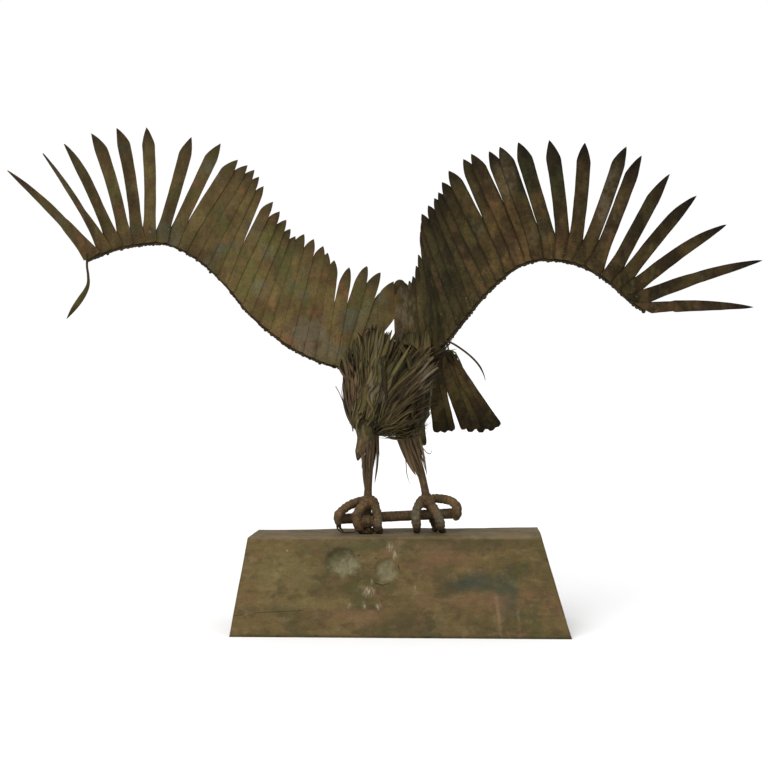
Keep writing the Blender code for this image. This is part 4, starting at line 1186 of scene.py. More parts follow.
def plinth_finish():
    """Old sheet iron: tan and olive blotches, stained streaks, scuffs and scratches, painted shade and
    highlights in the dents, and a top face painted lighter, partly as light from above.
    """
    paint = Finish("plinth_sheet_patina", 0.06)
    wide, flat = (0.65, 1, 1), (0.5, 1, 1)
    blotches = paint.cloud(0.070, 0.42, 0.58, wide, 0.0, 6.0)
    colour = paint.mix(blotches, tone(90, 74, 41), tone(76, 64, 33))
    colour = paint.patches(colour, [
        (0.050, 0.52, 0.61, 4.0, 6.0, 0.70, tone(94, 70, 44)),
        (0.055, 0.52, 0.61, 9.0, 6.0, 0.75, tone(64, 60, 29)),
        (0.030, 0.54, 0.63, 15.0, 6.0, 0.50, tone(102, 87, 58)),
        (0.026, 0.55, 0.64, 45.0, 6.0, 0.45, tone(58, 48, 27)),
    ], wide)
    for name, (ragged, tint, rows) in PLINTH_STAINS.items():
        stain = paint.spots(rows, 0.6, ragged)
        if name == "red":
            stain = stain * (0.55 + 0.45 * paint.cloud(0.022, 0.42, 0.60, flat, 71.0))
        colour = paint.mix(stain, colour, tint)
    runs = 0.35 + 0.65 * paint.cloud(0.012, 0.40, 0.60, (1, 1, 0.5), 75.0)
    for start, end, half, share in DRIPS:
        colour = paint.mix(paint.stroke(start, end, half) * runs * share, colour, tone(118, 92, 68))

    # Painted shade over the first dent, then lighter tones inside both dents, partly worn grey-green metal
    # and partly painted light, and a painted highlight towards the lower right of each.
    dent_painted_shade = paint.spot((-0.1430, -0.090, 0.180), (0.041, 0.05, 0.035), 0.18, 0.16)
    dent_light_and_wear = paint.spots([
        (1.0, (-0.1330, -0.090, 0.171), (0.034, 0.05, 0.028), 0.28, 0.40),
        (1.0, (-0.0333, -0.095, 0.155), (0.027, 0.05, 0.029), 0.22, 0.30),
    ])
    dent_painted_highlight = paint.spots([
        (1.0, (-0.1180, -0.090, 0.172), (0.017, 0.05, 0.016)),
        (0.9, (-0.1360, -0.090, 0.160), (0.022, 0.05, 0.013)),
        (1.0, (-0.0310, -0.095, 0.152), (0.018, 0.05, 0.022)),
    ], 0.6, 0.5)
    worn = paint.cloud(0.016, 0.34, 0.62, shift=81.0)
    broken = paint.cloud(0.008, 0.38, 0.62, (1, 1, 0.4), 37.0)
    dirt_and_top_light = paint.cloud(0.050, 0.40, 0.62, flat, 85.0)
    colour = paint.layers(colour, [
        (dent_painted_shade * 0.60, tone(52, 52, 32)),
        (dent_light_and_wear * (0.35 + worn * 0.35), tone(92, 87, 60)),
        (dent_painted_highlight * (0.25 + broken * 0.35), tone(126, 117, 90)),
        # The top face and its edge are painted a lighter tone, partly as the light that falls on the top,
        # with darker dirty patches.
        (paint.past("Z", 0.2275, 0.2320) * 0.75, paint.mix(dirt_and_top_light, tone(108, 93, 68), tone(84, 72, 46))),
    ])
    colour = paint.shade(colour, [
        0.84 + paint.cloud(0.012, 0.36, 0.64, flat, 25.0) * 0.18,
        0.88 + paint.grain(0.0040) * 0.24,
        0.97 + paint.cloud(0.0045, 0.3, 0.7, (0.12, 1, 1), 95.0, 2.0) * 0.07,
        1.0 - paint.past("Z", 0.012, 0.0) * 0.30,
    ])
    scuffs = paint.spots([(1.0, centre, halves) for centre, halves in SCUFFS], 0.9)
    flakes = paint.cloud(0.0042, 0.48, 0.58, (1, 1, 0.4), 33.0)
    scratches = paint.clamp(sum(paint.stroke(*scratch) for scratch in SCRATCHES))
    colour = paint.layers(colour, [
        (scuffs * (0.10 + flakes * 0.55), tone(154, 143, 118)),
        (scratches * 0.75, tone(36, 29, 17)),
    ])
    height = paint.grain(0.003) * 0.3 + paint.grain(0.012) * 0.8 - scratches * 0.8
    return paint.done(colour, 0.60 + paint.grain(0.020) * 0.22, height, 0.0014)


# Wings ---------------------------------------------------------------------------------


def stood(origin, across, up):
    """The matrix that stands a blade at a place, with x across it and z up along it."""
    axes = Matrix((across, up.cross(across), up)).transposed().to_4x4()
    return Matrix.Translation(origin) @ axes


def add_strip(blade, finish, name, stance, replaced=(), **sizes):
    """One flat strip from the blade tree, stood in its place."""
    mesh = blade.form(bpy.data.meshes.new("blade"), finish, **sizes)
    mesh.transform(stance)
    piece(name, cleaned(mesh), replaced, FLAT_EDGE)


class Wing:
    """A wing's rod and feathers. The side is -1 on the left and 1 on the right."""

    def __init__(self, name, side, rod, guides, groups):
        self.name = name
        self.side = side
        self.route = Route(rod)
        self.guides = guides
        self.groups = groups
        self.count = guides["Width"][-1][0]
        self.step = LOUVRE_STEPS[name]

    def read(self, guide, number):
        return eased(self.guides[guide], number)

    def stance(self, number):
        """The matrix that stands a feather on the rod, and the slant of its root."""
        place = self.read("Place", number)
        inner, outer = max(number - 1, 1), min(number + 1, self.count)
        pitch = (self.read("Place", outer) - self.read("Place", inner)) / (outer - inner)
        lean = math.radians(self.read("Lean", number))
        along = self.route.along(place)
        outward = Vector((along.x, along.y, 0)).normalized()
        up = Vector((0, 0, math.cos(lean))) + outward * math.sin(lean)
        facing = up.cross(outward).normalized() * -self.side
        across = up.cross(facing).normalized()
        across *= 1 if across.dot(outward) > 0 else -1
        crossing = max(along.cross(up).length, LEAST_CROSSING)
        tilt = math.atan(self.step / (pitch * crossing))
        edge = across * math.cos(tilt) - facing * math.sin(tilt)
        level = along.dot(edge)
        slant = along.dot(up) / math.copysign(max(abs(level), LEAST_LEVEL), level)
        origin = self.route.at(place) + facing * (ROD_RADIUS + STRIP_THICKNESS * FRONT_SHARE)
        return stood(origin + up * ROOT_OVER_ROD, edge, up), slant

    def node(self, number):
        """The construction's node that a feather belongs to."""
        last = 0
        for letter, size in zip("abcdef", self.groups):
            last += size
            if number <= last:
                return f"{self.name}_inner_feathers_{letter}"
        return f"{self.name}_outer_feather_{number}"


def make_wing(wing, blade, bar, beads, finishes):
    for number in range(1, wing.count + 1):
        stance, slant = wing.stance(number)
        drop = wing.read("Drop", number)
        blade_sizes = [guide for guide in wing.guides if guide not in ("Place", "Lean", "Drop")]
        sizes = {size: wing.read(size, number) for size in blade_sizes}
        sizes["Length"] += drop
        sizes["Root Slant"] = slant
        sizes["Twist"] = math.radians(sizes["Twist"])
        sizes["Seed"] = number + 40.0 * wing.side
        if number == 1:
            sizes.update({"Point Curve": 2.0, "Tip Breadth": 1.0})
        name = f"{wing.name}_wing_feather_{number:02d}"
        stance = stance @ Matrix.Translation((0, 0, -drop))
        add_strip(blade, finishes["strip"], name, stance, [wing.node(number)], **sizes)
    route = wing.route
    line = [(route.at(route.length * share), ROD_RADIUS, (0, 0, 1)) for share in shares(160)]
    sizes = {"Sides": 14, "Ridge Depth": 0.0, "Dents": 0.30, "Step": 0.003}
    rod = bar.form(chains([line]), finishes["rod"], **sizes)
    piece(f"{wing.name}_bent_rod", cleaned(rod), [f"{wing.name}_wing_rod"])
    low = [(spot + Vector((0, -0.0015, -0.0022)), half, lie) for spot, half, lie in line]
    sizes = {"Spacing": 0.0095, "Radius": 0.0050, "Seed": 5 + wing.side}
    welds = beads.form(chains([low]), finishes["rod"], **sizes)
    piece(f"{wing.name}_rod_welds", welds)


def make_shoulder_blade(blade, finish):
    """A short broad strip with a slanted root that closes the gap beside the left wing."""
    stance = stood((-0.0355, 0.048, 0.747), Vector((-1.0, 0.0, 0.0)), Vector((0.0, 0.0, 1.0)))
    add_strip(
        blade, finish, "left_shoulder_strip", stance, Length=0.120, Width=0.042,
        Point_Length=0.045, Point_Curve=2.0, Point_Fullness=0.8, Tip_Breadth=1.0,
        Root_Slant=-1.2, Skew=-0.9, Seed=91.0,
    )


def make_tail(blade, finish):
    for n, (top, bottom, top_width, bottom_width) in enumerate(TAIL_PANELS):
        top, bottom = Vector(top), Vector(bottom)
        down = (bottom - top).normalized()
        across = Vector((-down.z, 0, down.x)).normalized()
        across = (across - down * across.dot(down)).normalized()
        add_strip(
            blade, finish, f"tail_panel_{n + 1}", stood(top, across, down), [f"tail_feather_{n + 1}"],
            Length=(bottom - top).length, Width=bottom_width, Point_Length=0.010,
            Point_Curve=3.2, Point_Fullness=0.22, Root_Breadth=top_width / bottom_width,
            Tip_Breadth=1.0, Seed=70.0 + n, Scallop=-0.0014 - 0.0006 * (n % 3), Square=0.93,
        )


def make_end_strip(strips, finish):
    route = Route([point for point, _, _ in END_STRIP])
    keys = [key for key, _ in route.guide]
    halves = list(zip(keys, [half for _, half, _ in END_STRIP]))
    turns = list(zip(keys, [turn for _, _, turn in END_STRIP]))
    line = []
    for share in shares(30):
        key = keys[-1] * share
        angle = math.radians(eased(turns, key))
        lie = Vector((math.sin(angle), -math.cos(angle), 0.0))
        line.append((eased(route.guide, key), eased(halves, key), lie))
    mesh = strips.form(chains([line]), finish, Flatness=0.22)
    piece("left_hanging_feather", cleaned(mesh), ["left_end_feather"])


# Head ----------------------------------------------------------------------------------

HEAD_PATH, HEAD_WIDTHS, HEAD_HEIGHTS = (
    list(enumerate(values)) for values in zip(*[(Vector(c), w, h) for c, w, h in HEAD_SECTIONS])
)


def head_section(key):
    """The head's middle at a section, its directions sideways and up, and its half sizes."""
    forward = (eased(HEAD_PATH, key + 0.05) - eased(HEAD_PATH, key - 0.05)).normalized()
    side = forward.cross(Vector((0, -1, 0))).normalized()
    upper = side.cross(forward).normalized()
    return eased(HEAD_PATH, key), side, upper, eased(HEAD_WIDTHS, key), eased(HEAD_HEIGHTS, key)


def bump_at(share, angle, middle, turn, share_width, turn_width):
    """A soft bump on the head, 1 at its middle."""
    apart = math.degrees(math.atan2(math.sin(angle - turn), math.cos(angle - turn)))
    return math.exp(-(((share - middle) / share_width) ** 2) - (apart / turn_width) ** 2)


def make_head(finishes):
    """A forged head bowed down, with brows, sunken eyes, a gape line and a hooked beak."""
    last = len(HEAD_SECTIONS) - 1
    rings, sides, blunt_end = 72, 48, 1.2
    form = bmesh.new()
    rows = []
    for r in range(rings + 1):
        key = last * r / rings
        centre, side, upper, width, height = head_section(key)
        fade = min(1.0, (last - key) / blunt_end)
        row = []
        for s in range(sides):
            angle = 2 * math.pi * s / sides
            across = side * math.cos(angle) * width
            rise = upper * math.sin(angle) * height
            spot = centre + across + rise
            swell = noise.noise(spot * 120) * 0.0007 + noise.noise(spot * 45) * 0.0010
            for bump, middle, turn, spread_along, spread_around in HEAD_BUMPS:
                for at in (math.radians(turn), math.pi - math.radians(turn)):
                    swell += bump * bump_at(key, angle, middle, at, spread_along, spread_around)
            row.append(form.verts.new(spot + (across + rise).normalized() * swell * fade))
        rows.append(row)
    bridge(form, rows)
    form.faces.new(rows[0])
    form.faces.new(rows[-1])
    bmesh.ops.recalc_face_normals(form, faces=form.faces)
    mesh = mesh_of(form, "head", finishes["head"])
    piece("eagle_head", mesh, ["head_with_beak"])


# Body ----------------------------------------------------------------------------------


def body_surface(direction):
    """The place on the body's rounded form in a direction from its middle."""
    level = math.hypot(direction.x, direction.y)
    power = BODY_SQUARENESS
    size = (level**power + abs(direction.z) ** power) ** (1 / power)
    reach = direction / size
    spot = Vector((reach.x * BODY_HALF.x, reach.y * BODY_HALF.y, reach.z * BODY_HALF.z))
    return BODY_CENTRE + spot


def strip_line(start, goal, end_share, lift, flare, half_width, swing, dice):
    """A strip over the body from one direction towards another: its points, widths and lie."""
    line = []
    sideways = start.rotation_difference(goal).axis * swing
    phase = dice.uniform(0, 2 * math.pi)
    for share in shares(16):
        direction = start.slerp(goal, share * end_share) + sideways * math.sin(math.pi * share)
        direction += sideways * 0.25 * math.sin(2.5 * math.pi * share + phase)
        direction.normalize()
        spot = body_surface(direction)
        out = (spot - BODY_CENTRE).normalized()
        spot = spot + out * (lift + flare * (1 - share) ** 3)
        line.append((spot, half_width * pointed(share), out))
    return line


def pointed(share):
    """A body strip's width along it: pointed at its free end, narrow where it is gathered."""
    grow = min(1.0, (share + 0.015) / 0.24) ** 0.8
    thin = 1.0 if share < 0.5 else 1.0 - 0.62 * ((share - 0.5) / 0.5) ** 1.2
    return grow * thin


def tapered(points, half, lie, steps=14, power=0.5, least=0.0003):
    """A strip along a route through points, from its half width at the start to a point."""
    route = Route(points, 60)
    return [
        (route.at(route.length * share), half * (1 - share) ** power + least, lie)
        for share in shares(steps)
    ]


def leaned(line, lean):
    """The strip turned a little about its own run, so that its face catches other light."""
    turned = []
    for k, (spot, half, out) in enumerate(line):
        run = line[min(k + 1, len(line) - 1)][0] - line[max(k - 1, 0)][0]
        turned.append((spot, half, Matrix.Rotation(lean, 3, run) @ Vector(out)))
    return turned


def risen(value, low, high):
    """Rises smoothly from 0 to 1 while value goes from low to high."""
    share = min(max((value - low) / (high - low), 0.0), 1.0)
    return share * share * (3 - 2 * share)


def breast(x, z):
    """The place of the breast's surface behind a spot of the front view."""
    middle_x, middle_z, wide, tall, deep = BREAST_FORM
    away = ((x - middle_x) / wide) ** 2 + ((z - middle_z) / tall) ** 2
    swell = deep * math.sqrt(max(0.0, 1 - away))
    neck_x, neck_z, neck_wide, neck_tall, neck_deep = NECK_FORM
    neck = neck_deep * math.exp(-(((x - neck_x) / neck_wide) ** 2) - ((z - neck_z) / neck_tall) ** 2)
    shoulder = SHOULDER_DEPTH * risen(x, 0.05, 0.11) * risen(z, 0.60, 0.68)
    return Vector((x, BREAST_BACK - swell - neck - shoulder, z))


def breast_normal(x, z):
    step = 0.004
    across = breast(x + step, z) - breast(x - step, z)
    rise = breast(x, z + step) - breast(x, z - step)
    return across.cross(rise).normalized()


# The breast's strips by their order, 0 at the left flank, over the shoulders, to 1 at the
# right flank: where they start and where they gather, as (x, z); half width; sideways bulge
BREAST_STARTS = [
    (0.00, Vector((-0.138, 0.655))), (0.10, Vector((-0.124, 0.700))), (0.22, Vector((-0.094, 0.735))),
    (0.34, Vector((-0.066, 0.752))), (0.44, Vector((-0.030, 0.728))), (0.53, Vector((-0.002, 0.728))),
    (0.60, Vector((0.022, 0.702))), (0.67, Vector((0.070, 0.690))), (0.75, Vector((0.118, 0.698))),
    (0.81, Vector((0.091, 0.648))), (0.87, Vector((0.076, 0.594))), (0.92, Vector((0.068, 0.545))),
    (0.96, Vector((0.058, 0.510))), (1.00, Vector((0.046, 0.488))),
]
BREAST_ENDS = [
    (0.00, Vector((-0.103, 0.514))), (0.20, Vector((-0.097, 0.514))), (0.45, Vector((-0.080, 0.516))),
    (0.65, Vector((-0.066, 0.510))), (0.85, Vector((-0.055, 0.498))), (1.00, Vector((-0.050, 0.486))),
]
BREAST_HALVES = [(0, 0.005), (0.2, 0.0062), (0.45, 0.0085), (0.6, 0.0072), (0.8, 0.0048), (1, 0.004)]
BREAST_BULGE = [(0, -0.018), (0.2, -0.012), (0.4, 0.0), (0.7, 0.006), (0.85, -0.006), (1, -0.01)]
BELLY_HEIGHT = 0.481


def strayed(dice, x, z):
    """A random step away from a spot of the front view."""
    return Vector((dice.gauss(0, x), dice.gauss(0, z)))


def within(dice, low, high):
    """A random place in the box between two corners."""
    return Vector([dice.uniform(*ends) for ends in zip(low, high)])


def breast_strips(dice, count, first=0.0):
    """Strips that flow down from the shoulders and right flank and gather on the head."""
    lines = []
    for n in range(count):
        layer = n / count
        order = first + (1 - first) * dice.random()
        spread = 0.6 + layer
        start = eased(BREAST_STARTS, order) + strayed(dice, 0.008, 0.009) * spread
        end = eased(BREAST_ENDS, order) + strayed(dice, 0.005, 0.007) * spread
        begin = dice.uniform(-0.03, 0.10) if layer < 0.40 else dice.uniform(0.0, 0.66)
        finish = min(begin + dice.uniform(0.42, 1.0), dice.uniform(0.88, 1.01))
        thin = dice.random() < 0.12 + 0.45 * risen(order, 0.70, 0.95)
        lift = 0.001 + 0.013 * layer
        flare = dice.choice([0.0, 0.002, 0.006, 0.011 if order < 0.7 else 0.020])
        half = eased(BREAST_HALVES, order) * dice.uniform(0.50, 1.10) * (0.34 if thin else 1.0)
        begin -= 0.10 if thin and order > 0.72 else 0.0
        bulge = eased(BREAST_BULGE, order) + dice.gauss(0, 0.006)
        wander = dice.gauss(0, 0.0032)
        phase = dice.uniform(0, 2 * math.pi)
        lean = dice.gauss(0, 0.42)
        run = end - start
        aside = Vector((-run.y, run.x)).normalized()
        line = []
        for share in shares(20):
            part = begin + (finish - begin) * share
            flat = start + run * part + aside * (-bulge * math.sin(math.pi * part))
            flat += aside * wander * math.sin(2 * math.pi * share + phase)
            # Below the belly's edge a strip is drawn up to a fifth of its drop.
            flat.y = max(flat.y, BELLY_HEIGHT + (flat.y - BELLY_HEIGHT) * 0.2)
            out = breast_normal(flat.x, flat.y)
            spot = breast(flat.x, flat.y) + out * (lift + flare * (1 - share) ** 3)
            line.append((spot, half * pointed(share), out))
        lines.append(leaned(line, lean))
    return lines


def crown_strips(dice, count):
    """Thin strips that run from the breast over the crown and end on the head."""
    lines = []
    for n in range(count):
        turn = math.radians(90 + dice.uniform(-95, 95))
        begin, finish = dice.uniform(0.6, 2.2), dice.uniform(3.1, 4.6)
        half = dice.uniform(0.0016, 0.0042)
        twist = dice.gauss(0, 0.25)
        line = []
        for share in shares(14):
            centre, side, upper, width, height = head_section(begin + (finish - begin) * share)
            angle = turn + twist * share
            lift = 0.0015 + 0.010 * (1 - share) ** 2 + 0.001 * n / count
            spot = centre + side * math.cos(angle) * (width + lift)
            spot += upper * math.sin(angle) * (height + lift)
            out = (side * math.cos(angle) + upper * math.sin(angle)).normalized()
            line.append((spot, half * (1 - share) ** 0.6 + 0.0002, out))
        lines.append(leaned(line, dice.gauss(0, 0.3)))
    return lines


def scattered(dice):
    """A random direction, even over the sphere."""
    z = dice.uniform(-1, 1)
    angle = dice.uniform(0, 2 * math.pi)
    flat = math.sqrt(1 - z * z)
    return Vector((flat * math.cos(angle), flat * math.sin(angle), z))


def back_strips(dice, count):
    """Strips that lie down the back and sides, from the wing roots to the tail and belly."""
    lines = []
    while len(lines) < count:
        start = scattered(dice)
        # The breast and the underside have strips of their own.
        if start.y < -0.20 - 0.50 * abs(start.x) or start.z < -0.45:
            continue
        goal = Vector((start.x * 0.55 + 0.10, start.y * 0.8 + 0.15, -0.95)).normalized()
        lift = 0.002 + 0.010 * len(lines) / count
        flare = dice.choice([0.0, 0.003, 0.008])
        half = dice.uniform(0.0035, 0.0070)
        end_share = dice.uniform(0.55, 1.0)
        swing = dice.uniform(-0.08, 0.08)
        lines.append(strip_line(start, goal, end_share, lift, flare, half, swing, dice))
    return lines


def top_strips(dice, count):
    """Strips that lie over the body's top, from the shoulders back between the wings."""
    lines = []
    for n in range(count):
        x = dice.uniform(-0.85, 0.85)
        start = Vector((x, dice.uniform(-0.40, 0.20), 0.90)).normalized()
        goal = Vector((x * 0.8, 0.85, dice.uniform(-0.10, 0.40))).normalized()
        lift = 0.002 + 0.008 * n / count
        half = dice.uniform(0.0045, 0.0075)
        lines.append(strip_line(start, goal, 1.0, lift, 0.003, half, dice.uniform(-0.1, 0.1), dice))
    return lines


def left_flank_strips(dice, count):
    """Strips that hang from under the left wing's root down the body's side."""
    lines = []
    for n in range(count):
        back = dice.uniform(-0.40, 0.50)
        start = Vector((-0.95, back, dice.uniform(0.30, 0.95))).normalized()
        goal = Vector((-0.65, back * 0.8 + 0.05, -0.80)).normalized()
        lift = 0.001 + 0.005 * n / count
        half = dice.uniform(0.0040, 0.0070)
        lines.append(strip_line(start, goal, 1.0, lift, 0.001, half, dice.uniform(-0.06, 0.06), dice))
    return lines


def belly_strips(dice, count):
    """Short strips under the body that run back from the breast to the legs and tail."""
    lines = []
    for _ in range(count):
        x = dice.uniform(-0.75, 0.85)
        start = Vector((x, dice.uniform(-0.75, -0.2), -0.75)).normalized()
        goal = Vector((x * 0.8 + 0.15, dice.uniform(0.5, 0.9), -0.70)).normalized()
        half = dice.uniform(0.003, 0.006)
        lift = dice.uniform(-0.002, 0.002)
        lines.append(strip_line(start, goal, 1.0, lift, 0.001, half, dice.uniform(-0.1, 0.1), dice))
    return lines


def binding_strips(dice, count):
    """Strips from the body's back that hold the tail panels' tops and the right rod's end."""
    rod = Route(RIGHT_ROD)
    lines = []
    for n in range(count):
        start = within(dice, (0.000, 0.035, 0.635), (0.055, 0.065, 0.680))
        if n % 3 == 0:
            hold = rod.at(dice.uniform(0.0, 0.11)) + Vector((0, dice.uniform(-0.008, 0.008), -0.004))
            beyond = (dice.gauss(0, 0.006), dice.uniform(0.003, 0.008), dice.uniform(0.00, 0.02))
            reach = hold + Vector(beyond)
            side = 1
        else:
            top, bottom = (Vector(end) for end in dice.choice(TAIL_PANELS[1:])[:2])
            side = dice.choice([-1, 1, 1])
            hold = top + Vector((dice.gauss(0, 0.008), 0.008 * side, dice.uniform(-0.008, 0.006)))
            reach = top.lerp(bottom, dice.uniform(0.10, 0.22 if side < 0 else 0.55))
            reach += Vector((dice.gauss(0, 0.006), 0.006 * side, 0))
        line = tapered([start, hold, reach], dice.uniform(0.0026, 0.0056), (0, side, 0.2))
        lines.append(leaned(line, dice.gauss(0, 0.3)))
    return lines


def hanging_strips(dice, count):
    """Strips from the low back that hold the top of the tail's hanging panel."""
    top, bottom = (Vector(end) for end in TAIL_PANELS[0][:2])
    lines = []
    for n in range(count):
        side = -1 if n % 3 == 0 else 1
        start = within(dice, (0.000, 0.062, 0.630), (0.040, 0.074, 0.668))
        hold = top + Vector((dice.gauss(0, 0.005), 0.006 * side, dice.uniform(0.000, 0.010)))
        reach = top.lerp(bottom, dice.uniform(0.15, 0.60))
        reach += Vector((dice.gauss(0, 0.005), 0.006 * side, 0))
        line = tapered([start, hold, reach], dice.uniform(0.0030, 0.0056), (0, side, 0.2))
        lines.append(leaned(line, dice.gauss(0, 0.2)))
    return lines


def root_strips(dice, count):
    """Short strips that carry the right wing's inner roots forward over the body's top."""
    rod = Route(RIGHT_ROD)
    steep, shallow = Vector((0.1, -1.0, 0.9)), Vector((0.1, -1.0, 0.5))
    lines = []
    for _ in range(count):
        root = rod.at(dice.uniform(0.01, 0.125))
        forward = dice.uniform(0.0, 1.0)
        start = root + Vector((0, -0.006, dice.uniform(0.030, 0.065)))
        over = Vector((root.x, root.y * 0.45 - 0.010, 0.706 + dice.gauss(0, 0.003)))
        x = root.x + dice.gauss(0, 0.0015)
        end = Vector((x, -0.052 - 0.012 * forward, 0.676 - 0.016 * forward))
        route = Route([start, over, end], 60)
        half = dice.uniform(0.0055, 0.0085)
        line = []
        for share in shares(14):
            broad = half * (1.1 - share) ** 0.4 * min(1.0, 0.08 + 2.6 * share)
            out = steep.lerp(shallow, share).normalized()
            line.append((route.at(route.length * share), broad, out))
        lines.append(leaned(line, dice.gauss(0, 0.10)))
    return lines


def make_body(strips, finishes):
    form = bmesh.new()
    # A dark core that stands for the shade inside the bundle.
    bmesh.ops.create_uvsphere(form, u_segments=48, v_segments=32, radius=1.0)
    for vert in form.verts:
        spot = body_surface(vert.co.normalized())
        vert.co = BODY_CENTRE + (spot - BODY_CENTRE) * CORE_SHARE
    core = mesh_of(form, "core", finishes["core"])
    piece("body_core", core, ["body_feather_bundle"])
    dice = random.Random(11)
    for name, lines in (
        ("breast_strips", breast_strips(dice, 330)),
        ("right_flank_strips", breast_strips(random.Random(37), 90, 0.68)),
        ("crown_strips", crown_strips(dice, 34)),
        ("back_strips", back_strips(dice, 350)),
        ("binding_strips", binding_strips(dice, 72)),
        ("belly_strips", belly_strips(dice, 110)),
        ("wing_root_strips", root_strips(dice, 46)),
        ("top_strips", top_strips(dice, 70)),
        ("hanging_strips", hanging_strips(dice, 22)),
        ("left_flank_strips", left_flank_strips(dice, 64)),
    ):
        mesh = strips.form(chains(lines), finishes["bundle"])
        piece(name, mesh, ["body_feather_bundle"], THIN_EDGE)


# Legs, feet, bar and wires -------------------------------------------------------------


def chain_of(guide, steps=40):
    """A smooth chain through (point, radius) pairs."""
    route = Route([point for point, _ in guide])
    radii = [(key, radius) for (key, _), (_, radius) in zip(route.guide, guide)]
    line = []
    for share in shares(steps):
        distance = route.length * share
        line.append((route.at(distance), eased(radii, route.key(distance)), (0, 0, 1)))
    return line


def leg_strips(guide, dice, count):
    """Strips laid lengthwise round a leg in layers; some upper ones end in loose points."""
    stations = 60
    line = chain_of(guide, stations)
    lines = []
    for layer, cover in enumerate(LEG_LAYERS):
        for n in range(count):
            turn = 2 * math.pi * (n + dice.uniform(-0.35, 0.35) + 0.5 * layer) / count
            start = dice.uniform(0.0, 0.06)
            reach = cover * dice.uniform(0.80, 1.0)
            loose = dice.choice([0.0, 0.002, 0.006]) * layer
            twist = dice.uniform(0.1, 0.5)
            made = []
            for share in shares(18):
                spot, radius, _ = line[round(stations * (start + (reach - start) * share))]
                angle = turn + share * twist
                out = Vector((math.cos(angle), math.sin(angle), 0))
                away = radius + 0.0002 + 0.0022 * layer + loose * share**2
                half = (0.0044 + 0.0006 * layer) * (1 - 0.30 * share)
                half *= min(1.0, ((1 - share) / 0.55) ** 0.8 + 0.04)
                made.append((spot + out * away, half, out))
            lines.append(made)
    return lines


def make_legs(strips, bar, finishes):
    dice = random.Random(23)
    for name, guide in LEGS.items():
        shank = bar.form(chains([chain_of(guide)]), finishes["forged"], Ridge_Depth=0.02, Dents=0.10)
        piece(f"{name}_shank", cleaned(shank), [f"{name}_leg"])
        lines = leg_strips(guide, dice, LEG_STRIP_COUNTS[name])
        for half, points in SPIKES[name]:
            lines.append(tapered(points, half, (0, -1, 0.1), 16, 0.6, 0.0002))
        mesh = strips.form(chains(lines), finishes["leg"], Flatness=0.26)
        piece(f"{name}_leg_strips", mesh, (), THIN_EDGE)


def make_lump(name, centre, halves, finish, coarse, fine):
    """A rough lump of rust or weld. Coarse is the depth, grain and place of its unevenness, and
    fine is the depth and grain."""
    form = bmesh.new()
    bmesh.ops.create_icosphere(form, subdivisions=4, radius=1.0)
    for vert in form.verts:
        out = vert.co.normalized()
        rough = 1 + coarse[0] * noise.noise(out * coarse[1] + coarse[2])
        rough += fine[0] * noise.noise(out * fine[1])
        vert.co = Vector(centre) + out * Vector(halves) * rough
    piece(name, mesh_of(form, "lump", finish))


def make_lumps(name, lumps, finish):
    for n, lump in enumerate(lumps):
        coarse = (0.34, 2.1, Vector((n, 0, 0)))
        make_lump(f"{name}_{n + 1}", lump[:3], lump[3:], finish, coarse, (0.16, 5.5))


def make_feet(bar, finishes):
    for n, (name, points) in enumerate(TALONS.items()):
        ends = TALON_ENDS.get(name, TALON_END)
        radii = [TALON_RADIUS * share for share in TALON_SHARES[:len(points) - len(ends)] + ends]
        ridges = DEEP_RIDGES.get(name, RIDGE_DEPTH)
        mesh = bar.form(
            chains([chain_of(list(zip(points, radii)))]), finishes["forged"], Step=0.0015,
            Ridge_Depth=ridges, Ridge_Size=RIDGE_SIZE, Dents=0.24, Seed=float(n),
        )
        piece(f"{name}_bar", cleaned(mesh), [name])
    for name, centre in ANKLES.items():
        coarse = (0.16, 2.6, Vector(centre) * 40)
        make_lump(f"{name}_ankle_weld", centre, ANKLE_HALVES, finishes["forged"], coarse, (0.06, 7.0))


def make_bar(bar, finishes):
    start, end = (Vector(point) for point in BAR_ENDS)
    line = [(start.lerp(end, share), BAR_RADIUS, (0, 0, 1)) for share in shares(40)]
    sizes = {"Ridge Depth": 0.006, "Dents": 0.055, "Sides": 28, "Seed": 9.0}
    mesh = bar.form(chains([line]), finishes["forged"], **sizes)
    piece("round_perch_bar", cleaned(mesh), ["perch_bar"], FLAT_EDGE)


def make_wires(strips, finish):
    """Loose wires, each thinner over its last eight of 28 steps."""
    steps, thinning = 28, 8
    for name, (radius, points) in WIRES.items():
        chain = chain_of([(point, radius) for point in points], steps)
        line = []
        for n, (spot, half, _) in enumerate(chain):
            line.append((spot, half * min(1.0, (steps - n) / thinning + 0.25), (0.0, -1.0, 0.2)))
        mesh = strips.form(chains([line]), finish, Flatness=1.0, Sides=6)
        piece(name, cleaned(mesh))


# Plinth --------------------------------------------------------------------------------


def dented(x, z):
    """How far the plinth's front is pressed in at a place."""
    depth = 0.0
    for middle_x, middle_z, half_x, half_z, corners, first, deep in DENTS:
        dx, dz = (x - middle_x) / half_x, (z - middle_z) / half_z
        sector = 2 * math.pi / corners
        angle = (math.atan2(dz, dx) + first) % sector - sector / 2
        rim = math.cos(sector / 2) / math.cos(angle)
        share = math.hypot(dx, dz) / rim
        if share < 1:
            depth += deep * (1 - share**2.2) ** 0.8
        elif share < 1 + DENT_RIM:
            depth -= DENT_RIM_HEIGHT * math.sin(math.pi * (share - 1) / DENT_RIM)
    return depth


def spaced(low, high, coarse, fine=None, fine_low=0.0, fine_high=0.0):
    """Stations from low to high, close together inside the fine stretch where there is one."""
    stations = [low]
    while stations[-1] < high:
        close = fine and fine_low <= stations[-1] <= fine_high
        stations.append(stations[-1] + (fine if close else coarse))
    scale = (high - low) / (stations[-1] - low)
    return [low + (station - low) * scale for station in stations]


